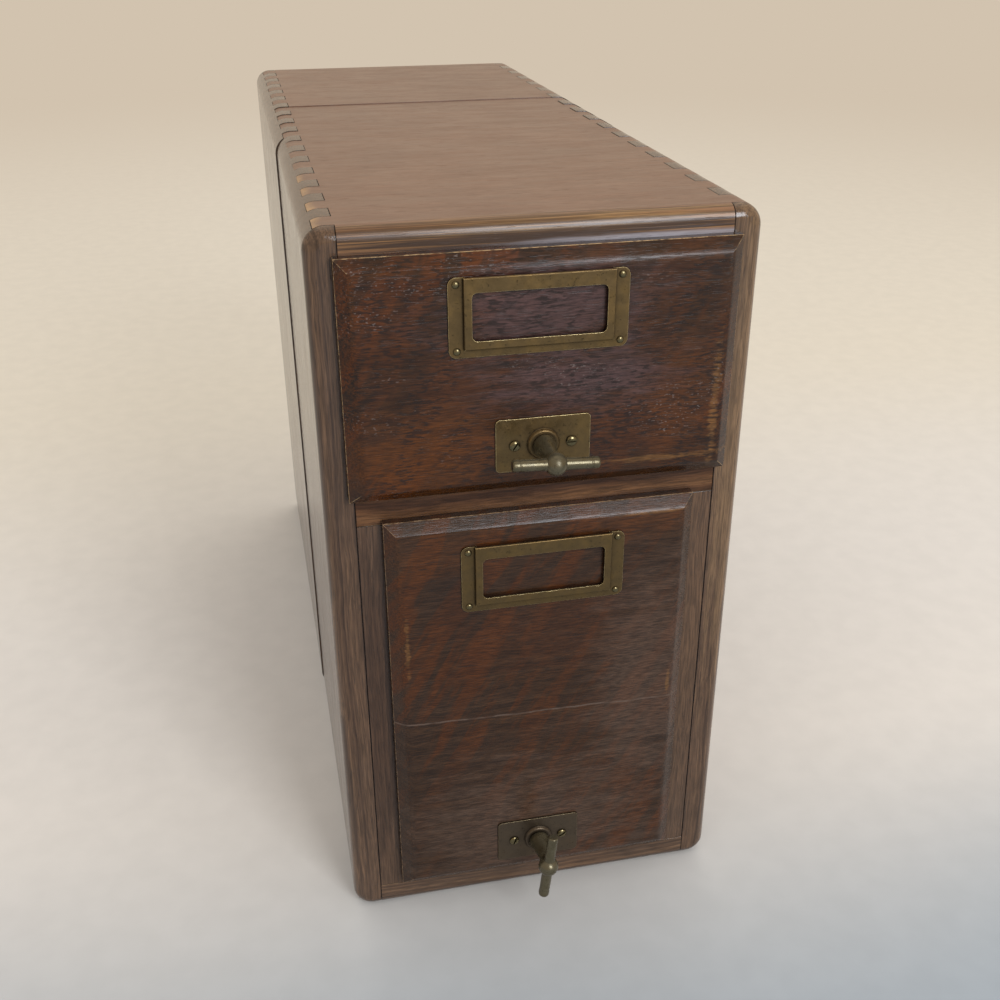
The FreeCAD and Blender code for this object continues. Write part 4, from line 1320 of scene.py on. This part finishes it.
@dataclass
class PullPlate:
    """The brass plate behind a handle, with its dome and two slotted screws."""

    drawer: str
    finish: BrassFinish
    screw_finish: BrassFinish
    seed: int
    slot_turns: tuple[float, float]
    edge: float = 0.00022
    head: float = 0.0022
    slot_depth: float = 0.0007
    slot_half: float = 0.00035
    crown: Profile = ((0.0, 0.0), (0.00008, 0.45), (0.00026, 0.75), (0.00048, 0.9))
    neck: Profile = ((0.0012, 1.0), (0.0014, 0.5))
    shank: float = 0.45
    point: float = 0.002
    cut_reach: float = 1e-7
    facets: int = 28

    def build(self) -> None:
        """Rounds the plate's edges, then drives the screws."""
        body, node = f"{self.drawer}_drawer", f"{self.drawer}_pull_plate"
        mesh = merged(node)
        ease(mesh, self.edge, angle=60.0)
        material = self.finish.material(f"{node}_brass", self.seed)
        place_piece(f"{self.drawer}_handle_plate", mesh, material, body, [node], sharp=60.0)
        self.screws(body)

    def screws(self, body: str) -> None:
        """Drives the two screws, each turned its own way.

        Args:
            body: The drawer's body.
        """
        node = f"{self.drawer}_plate_screws"
        low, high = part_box(f"{self.drawer}_plate_screws")
        middle = (low.z + high.z) / 2.0
        mesh = bmesh.new()
        for x, turn in zip((low.x + self.head, high.x - self.head), self.slot_turns):
            join(mesh, moved(swung(self.screw(high.y - low.y), turn, "Y"), Vector((x, low.y, middle))))
        material = self.screw_finish.material(f"{node}_brass", self.seed + 1)
        place_piece(f"{self.drawer}_slotted_screws", mesh, material, body, [node])

    def screw(self, length: float) -> Mesh:
        """A round-head screw with a sawn slot.

        Args:
            length: Its whole length in metres.

        Returns:
            The mesh, with its crown at the origin and its slot upright.
        """
        deep = self.slot_depth
        tail = (*self.neck, (length - self.point, self.shank), (length, 0.0))
        mesh = turned(stepped(((deep, 0.0), (deep, 0.98), *tail), self.head), self.facets)
        crown = stepped((*self.crown, (deep, 0.99), (deep, 0.0)), self.head)
        for side in (-1.0, 1.0):
            half = turned(crown, self.facets)
            made = bmesh.ops.bisect_plane(
                half,
                geom=half.verts[:] + half.edges[:] + half.faces[:],
                dist=self.cut_reach,
                plane_co=(side * self.slot_half, 0, 0),
                plane_no=(-side, 0, 0),
                clear_outer=True,
            )
            rim = [g for g in made["geom_cut"] if isinstance(g, bmesh.types.BMEdge)]
            bmesh.ops.edgeloop_fill(half, edges=rim)
            bmesh.ops.recalc_face_normals(half, faces=half.faces)
            join(mesh, half)
        return mesh


@dataclass
class Handle:
    """The turned brass stem and ball with its crossbar, on the end of the card rod.

    The steps are shares of the neck's, base's or bar's radius. Their places count from the ball's middle for
    the neck and the hub, back from the foot for the base, and in from the bar's end for its cap and groove.
    """

    drawer: str
    finish: BrassFinish
    seed: int
    turn: float
    ball: float = 0.0046
    neck: float = 0.0027
    neck_steps: Profile = ((0.0043, 1.02), (0.0052, 1.0))
    base: float = 0.0047
    base_steps: Profile = ((0.0044, 0.8), (0.0024, 0.97), (0.0013, 1.0), (0.0002, 1.0), (0.0, 0.95))
    bar_length: float = 0.0347
    bar_radius: float = 0.00245
    cap_steps: Profile = ((0.0, 0.0), (0.0, 0.7), (0.0002, 0.86), (0.0007, 0.98), (0.0026, 1.0))
    groove_steps: Profile = ((0.0028, 0.93), (0.0034, 0.93), (0.0036, 0.98))
    hub_steps: Profile = ((0.0006, 0.98), (0.0004, 1.04))
    hub_share: float = 0.6
    ball_arc: tuple[float, float] = (180.0, 38.0)
    ball_points: int = 15
    stem_facets: int = 40
    bar_facets: int = 28

    def build(self) -> None:
        """Turns the stem, ball and crossbar and dresses them."""
        low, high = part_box(f"{self.drawer}_handle")
        front = Vector(((low.x + high.x) / 2.0, low.y, (low.z + high.z) / 2.0))
        stem = moved(turned(self.stem(high.y - low.y), self.stem_facets), front)
        self.place("turned_handle", "handle", stem, self.seed)
        bar = swung(swung(turned(self.bar(), self.bar_facets), 90.0, "Z"), self.turn, "Y")
        bar = moved(bar, front + Vector((0.0, self.ball, 0.0)))
        self.place("cross_handle", "crossbar", bar, self.seed + 1)

    def place(self, name: str, part: str, mesh: Mesh, seed: int) -> None:
        """Dresses one turned piece and puts it on the rod.

        Args:
            name: The piece's name, without the drawer's.
            part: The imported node's name, without the drawer's.
            mesh: Its mesh, in place.
            seed: A number that makes the piece unlike the others.
        """
        body, node = f"{self.drawer}_rod", f"{self.drawer}_{part}"
        material = self.finish.material(f"{node}_brass", seed)
        place_piece(f"{self.drawer}_{name}", mesh, material, body, [node], sharp=50.0)

    def stem(self, foot: float) -> list[tuple[float, float]]:
        """The profile of the ball and stem.

        Args:
            foot: The whole length in metres.

        Returns:
            Pairs of place along the axis and radius.
        """
        neck = [(self.ball + place, self.neck * share) for place, share in self.neck_steps]
        base = [(foot - inset, self.base * share) for inset, share in self.base_steps]
        ball = arc(self.ball, self.ball, *self.ball_arc, self.ball_points)
        return [*ball, *neck, *base, (foot, 0.0)]

    def bar(self) -> list[tuple[float, float]]:
        """The profile of the crossbar, with its grooved ends and the hub that sits in the ball.

        Returns:
            Pairs of place along the axis and radius.
        """
        half, radius = self.bar_length / 2.0, self.bar_radius
        end = [(half - inset, radius * share) for inset, share in (*self.cap_steps, *self.groove_steps)]
        end += [(self.ball + place, radius * share) for place, share in self.hub_steps]
        end.append((self.ball * self.hub_share, radius * self.hub_steps[-1][1]))
        return end + [(-place, width) for place, width in reversed(end)]


@dataclass
class CardDrawer:
    """One drawer: its bevelled front, dovetailed box, fittings, card rod and follower."""

    name: str
    palette: Palette
    finish: OakFinish
    plate_finish: BrassFinish
    seed: int
    handle_turn: float
    slot_turns: tuple[float, float]
    patches: Sequence[Patch] = ()
    crack: Optional[Crack] = None
    front_edge: float = 0.00035

    def build(self) -> None:
        """Builds and dresses the whole drawer."""
        name, seed, palette = self.name, self.seed, self.palette
        self.front().build(self.finish)
        for board in self.box():
            board.build(palette.box)
        LabelHolder(name, palette.sheet, palette.pin, seed + 5).build()
        PullPlate(name, self.plate_finish, palette.pin, seed + 7, self.slot_turns).build()
        Handle(name, palette.handle, seed + 9, self.handle_turn).build()
        follower = f"{name}_follower"
        Board(follower, Grain.ALONG_X, (0.0, 0.4, 0.0), seed + 11, follower).build(palette.box)
        coats = {
            "rod": palette.rod,
            "rod_socket": palette.sheet,
            "follower_plate": palette.sheet,
            "follower_screws": palette.pin,
        }
        for place, (part, finish) in enumerate(coats.items(), seed + 5):
            dress(f"{name}_{part}", finish.material(f"{name}_{part}_brass", place))

    def front(self) -> Board:
        """Describes the drawer's bevelled and lipped front.

        Returns:
            The front's board.
        """
        return Board(
            f"{self.name}_front",
            Grain.ALONG_X,
            (0.0, 0.25, -0.6),
            self.seed,
            body=f"{self.name}_drawer",
            slot="oak_front",
            edge=self.front_edge,
            patches=self.patches,
            crack=self.crack,
        )

    def box(self) -> list[Board]:
        """Lists the parts of the box behind the front.

        Returns:
            The sides, the back and the bottom.
        """
        parts = (
            ("left_side", Grain.ALONG_Y, (0.3, 0.0, 0.1)),
            ("right_side", Grain.ALONG_Y, (-0.3, 0.0, 0.1)),
            ("back", Grain.ALONG_X, (0.0, 0.5, 0.1)),
            ("bottom", Grain.ALONG_X, (0.0, 0.1, 0.6)),
        )
        return [
            Board(f"{self.name}_{part}", grain, heart, seed, f"{self.name}_drawer")
            for seed, (part, grain, heart) in enumerate(parts, self.seed + 1)
        ]


@dataclass
class Studio:
    """The pale floor, the soft lights and the camera."""

    paper: FloorPaper
    eye: Triple = (-0.10896, -0.64899, 0.43553)
    right: Triple = (0.97593, -0.21806, -0.00229)
    down: Triple = (-0.10347, -0.45381, -0.88507)
    ahead: Triple = (0.19196, 0.86400, -0.46545)
    lens: float = 42.71
    sensor: float = 36.0
    shift: tuple[float, float] = (-0.00624, 0.01783)
    floor_radius: float = 16.0
    floor_drop: float = 0.0002
    daylight: Colour = (0.93, 0.965, 1.0, 1.0)
    wall: Colour = tone(212, 197, 177)

    def build(self) -> None:
        """Sets up the floor, the lights, the world and the camera."""
        self.floor()
        self.world()
        self.sun("key_light", towards=(0.14, 0.5, 1.0), strength=0.42, colour=(1.0, 0.91, 0.78), angle=60.0)
        self.window(
            "front_window",
            place=(0.55, -1.8, 1.02),
            aim=(0.0, -0.22, 0.25),
            size=(0.66, 1.04),
            power=26.0,
            colour=(0.85, 0.92, 1.0),
        )
        self.camera()

    def floor(self) -> None:
        """Lays the floor."""
        mesh = bmesh.new()
        bmesh.ops.create_circle(mesh, cap_ends=True, segments=96, radius=self.floor_radius)
        bmesh.ops.translate(mesh, vec=(0, 0, -self.floor_drop), verts=mesh.verts)
        data = bpy.data.meshes.new("studio_floor")
        mesh.to_mesh(data)
        mesh.free()
        data.materials.append(self.paper.material("studio_floor_paper"))
        floor = bpy.data.objects.new("studio_floor", data)
        bpy.context.scene.collection.objects.link(floor)

    def world(self) -> None:
        """Makes a plain pale room all round: daylight on the cabinet, the wall's tone where it is seen."""
        world = bpy.data.worlds.new("studio_room")
        bpy.context.scene.world = world
        world.use_nodes = True
        nodes, links = world.node_tree.nodes, world.node_tree.links
        nodes.clear()
        seen = nodes.new("ShaderNodeBackground")
        seen.inputs["Color"].default_value = self.wall
        light = nodes.new("ShaderNodeBackground")
        light.inputs["Color"].default_value = self.daylight
        path = nodes.new("ShaderNodeLightPath")
        either = nodes.new("ShaderNodeMath")
        either.operation = "MAXIMUM"
        mix = nodes.new("ShaderNodeMixShader")
        out = nodes.new("ShaderNodeOutputWorld")
        links.new(path.outputs["Is Camera Ray"], either.inputs[0])
        links.new(path.outputs["Is Glossy Ray"], either.inputs[1])
        links.new(either.outputs[0], mix.inputs["Fac"])
        links.new(light.outputs[0], mix.inputs[1])
        links.new(seen.outputs[0], mix.inputs[2])
        links.new(mix.outputs[0], out.inputs["Surface"])

    def sun(self, name: str, towards: Triple, strength: float, colour: Triple, angle: float) -> None:
        """Adds a broad soft light from one direction.

        Args:
            name: The light's name.
            towards: The direction that it comes from.
            strength: Its strength.
            colour: Its colour.
            angle: How wide it is, in degrees.
        """
        data = bpy.data.lights.new(name, "SUN")
        data.energy, data.color, data.angle = strength, colour, math.radians(angle)
        lamp = bpy.data.objects.new(name, data)
        lamp.rotation_euler = Vector(towards).to_track_quat("Z", "Y").to_euler()
        bpy.context.scene.collection.objects.link(lamp)

    def window(self, name: str, place: Triple, aim: Triple, size: tuple[float, float], power: float,
               colour: Triple) -> None:
        """Adds a soft rectangular light.

        Args:
            name: The light's name.
            place: Where it stands.
            aim: What it faces.
            size: Its width and height in metres.
            power: Its power in watts.
            colour: Its colour.
        """
        data = bpy.data.lights.new(name, "AREA")
        data.shape, data.size, data.size_y = "RECTANGLE", size[0], size[1]
        data.energy, data.color = power, colour
        lamp = bpy.data.objects.new(name, data)
        lamp.location = place
        lamp.rotation_euler = (Vector(place) - Vector(aim)).to_track_quat("Z", "Y").to_euler()
        bpy.context.scene.collection.objects.link(lamp)

    def camera(self) -> None:
        """Places the camera."""
        data = bpy.data.cameras.new("studio_camera")
        data.lens, data.sensor_width, data.sensor_fit = self.lens, self.sensor, "HORIZONTAL"
        data.shift_x, data.shift_y = self.shift
        camera = bpy.data.objects.new("studio_camera", data)
        right, up, back = Vector(self.right), -Vector(self.down), -Vector(self.ahead)
        turn = Matrix((right, up, back)).transposed()
        camera.matrix_world = Matrix.Translation(Vector(self.eye)) @ turn.to_4x4()
        bpy.context.scene.collection.objects.link(camera)
        bpy.context.scene.camera = camera
        bpy.context.scene.view_settings.view_transform = "Standard"


def front_marks(*rows: tuple) -> tuple[Patch, ...]:
    """The marks on a drawer's front, through its whole thickness: those left by years of use, and painted
    shadow, reflection and light.

    Args:
        *rows: For each mark its tone, its place and its reach (across and up, in millimetres), its strength,
            how ragged it is, and the scale of its ragged edge along and across the fibres.

    Returns:
        The marks.
    """
    return tuple(
        Patch(colour, (x, FACE_PLACE_MM, z), (wide, FACE_REACH_MM, high), *rest)
        for colour, (x, z), (wide, high), *rest in rows
    )


def drawers(palette: Palette) -> list[CardDrawer]:
    """The two drawers with their marks.

    Args:
        palette: The cabinet's finishes.

    Returns:
        The upper and the lower drawer.
    """
    rust, red, gold = tone(78, 40, 7), tone(74, 38, 16), tone(124, 86, 46)
    # On the next line, the first tone darkens by the label frames as painted shadow, the second is painted
    # reflection and the third painted light from the floor.
    soot_and_shadow, mauve_sheen, floor_light = tone(34, 22, 15), tone(74, 54, 53), tone(82, 63, 51)
    upper = front_marks(
        (rust, (-46.0, 242.0), (52.0, 26.0), 0.75, 0.6, 40.0, 110.0),
        (red, (-62.0, 298.0), (24.0, 26.0), 0.35, 0.7, 40.0, 110.0),
        (red, (-30.0, 272.0), (40.0, 18.0), 0.4, 0.8, 40.0, 110.0),
        (red, (24.0, 246.0), (70.0, 22.0), 0.45, 0.8, 40.0, 110.0),
        (rust, (58.0, 256.0), (26.0, 38.0), 0.5, 0.8, 40.0, 110.0),
        # painted reflection: mauve veils where the varnish mirrors the bluish light
        (mauve_sheen, (0.0, 298.0), (56.0, 24.0), 0.65, 0.8, 50.0, 200.0),
        (mauve_sheen, (14.0, 268.0), (54.0, 18.0), 0.65, 0.8, 50.0, 200.0),
        (gold, (70.3, 252.0), (2.6, 34.0), 0.42, 1.6, 220.0, 520.0),
        (gold, (52.0, 231.0), (36.0, 1.6), 0.36, 1.5, 60.0, 500.0),
        # painted shadow and soot: a thin dark band below the label frame
        (soot_and_shadow, (-14.0, 276.5), (36.0, 3.0), 0.5, 0.9, 60.0, 400.0),
    )
    lower = front_marks(
        (rust, (-44.0, 196.0), (36.0, 14.0), 0.35, 0.8, 40.0, 220.0),
        (rust, (36.0, 202.0), (44.0, 12.0), 0.5, 0.8, 40.0, 220.0),
        (red, (6.0, 152.0), (60.0, 30.0), 0.3, 0.8, 40.0, 220.0),
        # painted light: the front paler towards the bottom and right, where light from the floor falls
        (floor_light, (48.0, 120.0), (34.0, 90.0), 0.5, 0.8, 40.0, 220.0),
        (floor_light, (-6.0, 44.0), (76.0, 50.0), 0.5, 0.8, 40.0, 260.0),
        # painted shadow and soot at the label frame's lower left corner
        (soot_and_shadow, (-36.0, 172.0), (24.0, 22.0), 0.45, 0.8, 40.0, 220.0),
        (gold, (-59.0, 152.0), (1.2, 18.0), 0.35, 1.5, 160.0, 420.0),
        (gold, (59.0, 118.0), (1.2, 10.0), 0.4, 0.9, 100.0, 300.0),
        (gold, (46.0, 205.5), (18.0, 1.2), 0.45, 0.9, 50.0, 300.0),
    )
    crack = Crack(0.1106, -0.024)
    return [
        CardDrawer("upper", palette, palette.front, palette.sheet, 40, 3.0, (35.0, 88.0), upper),
        CardDrawer("lower", palette, palette.lower, palette.plate, 60, -83.0, (20.0, 60.0), lower, crack),
    ]


def main() -> None:
    """Builds the case, both drawers and the studio, and reports each piece."""
    logging.basicConfig(level=logging.INFO, format="%(name)s: %(message)s")
    palette = Palette()
    Carcase(palette).build()
    for drawer in drawers(palette):
        drawer.build()
    Studio(palette.paper).build()


if __name__ == "__main__":
    main()
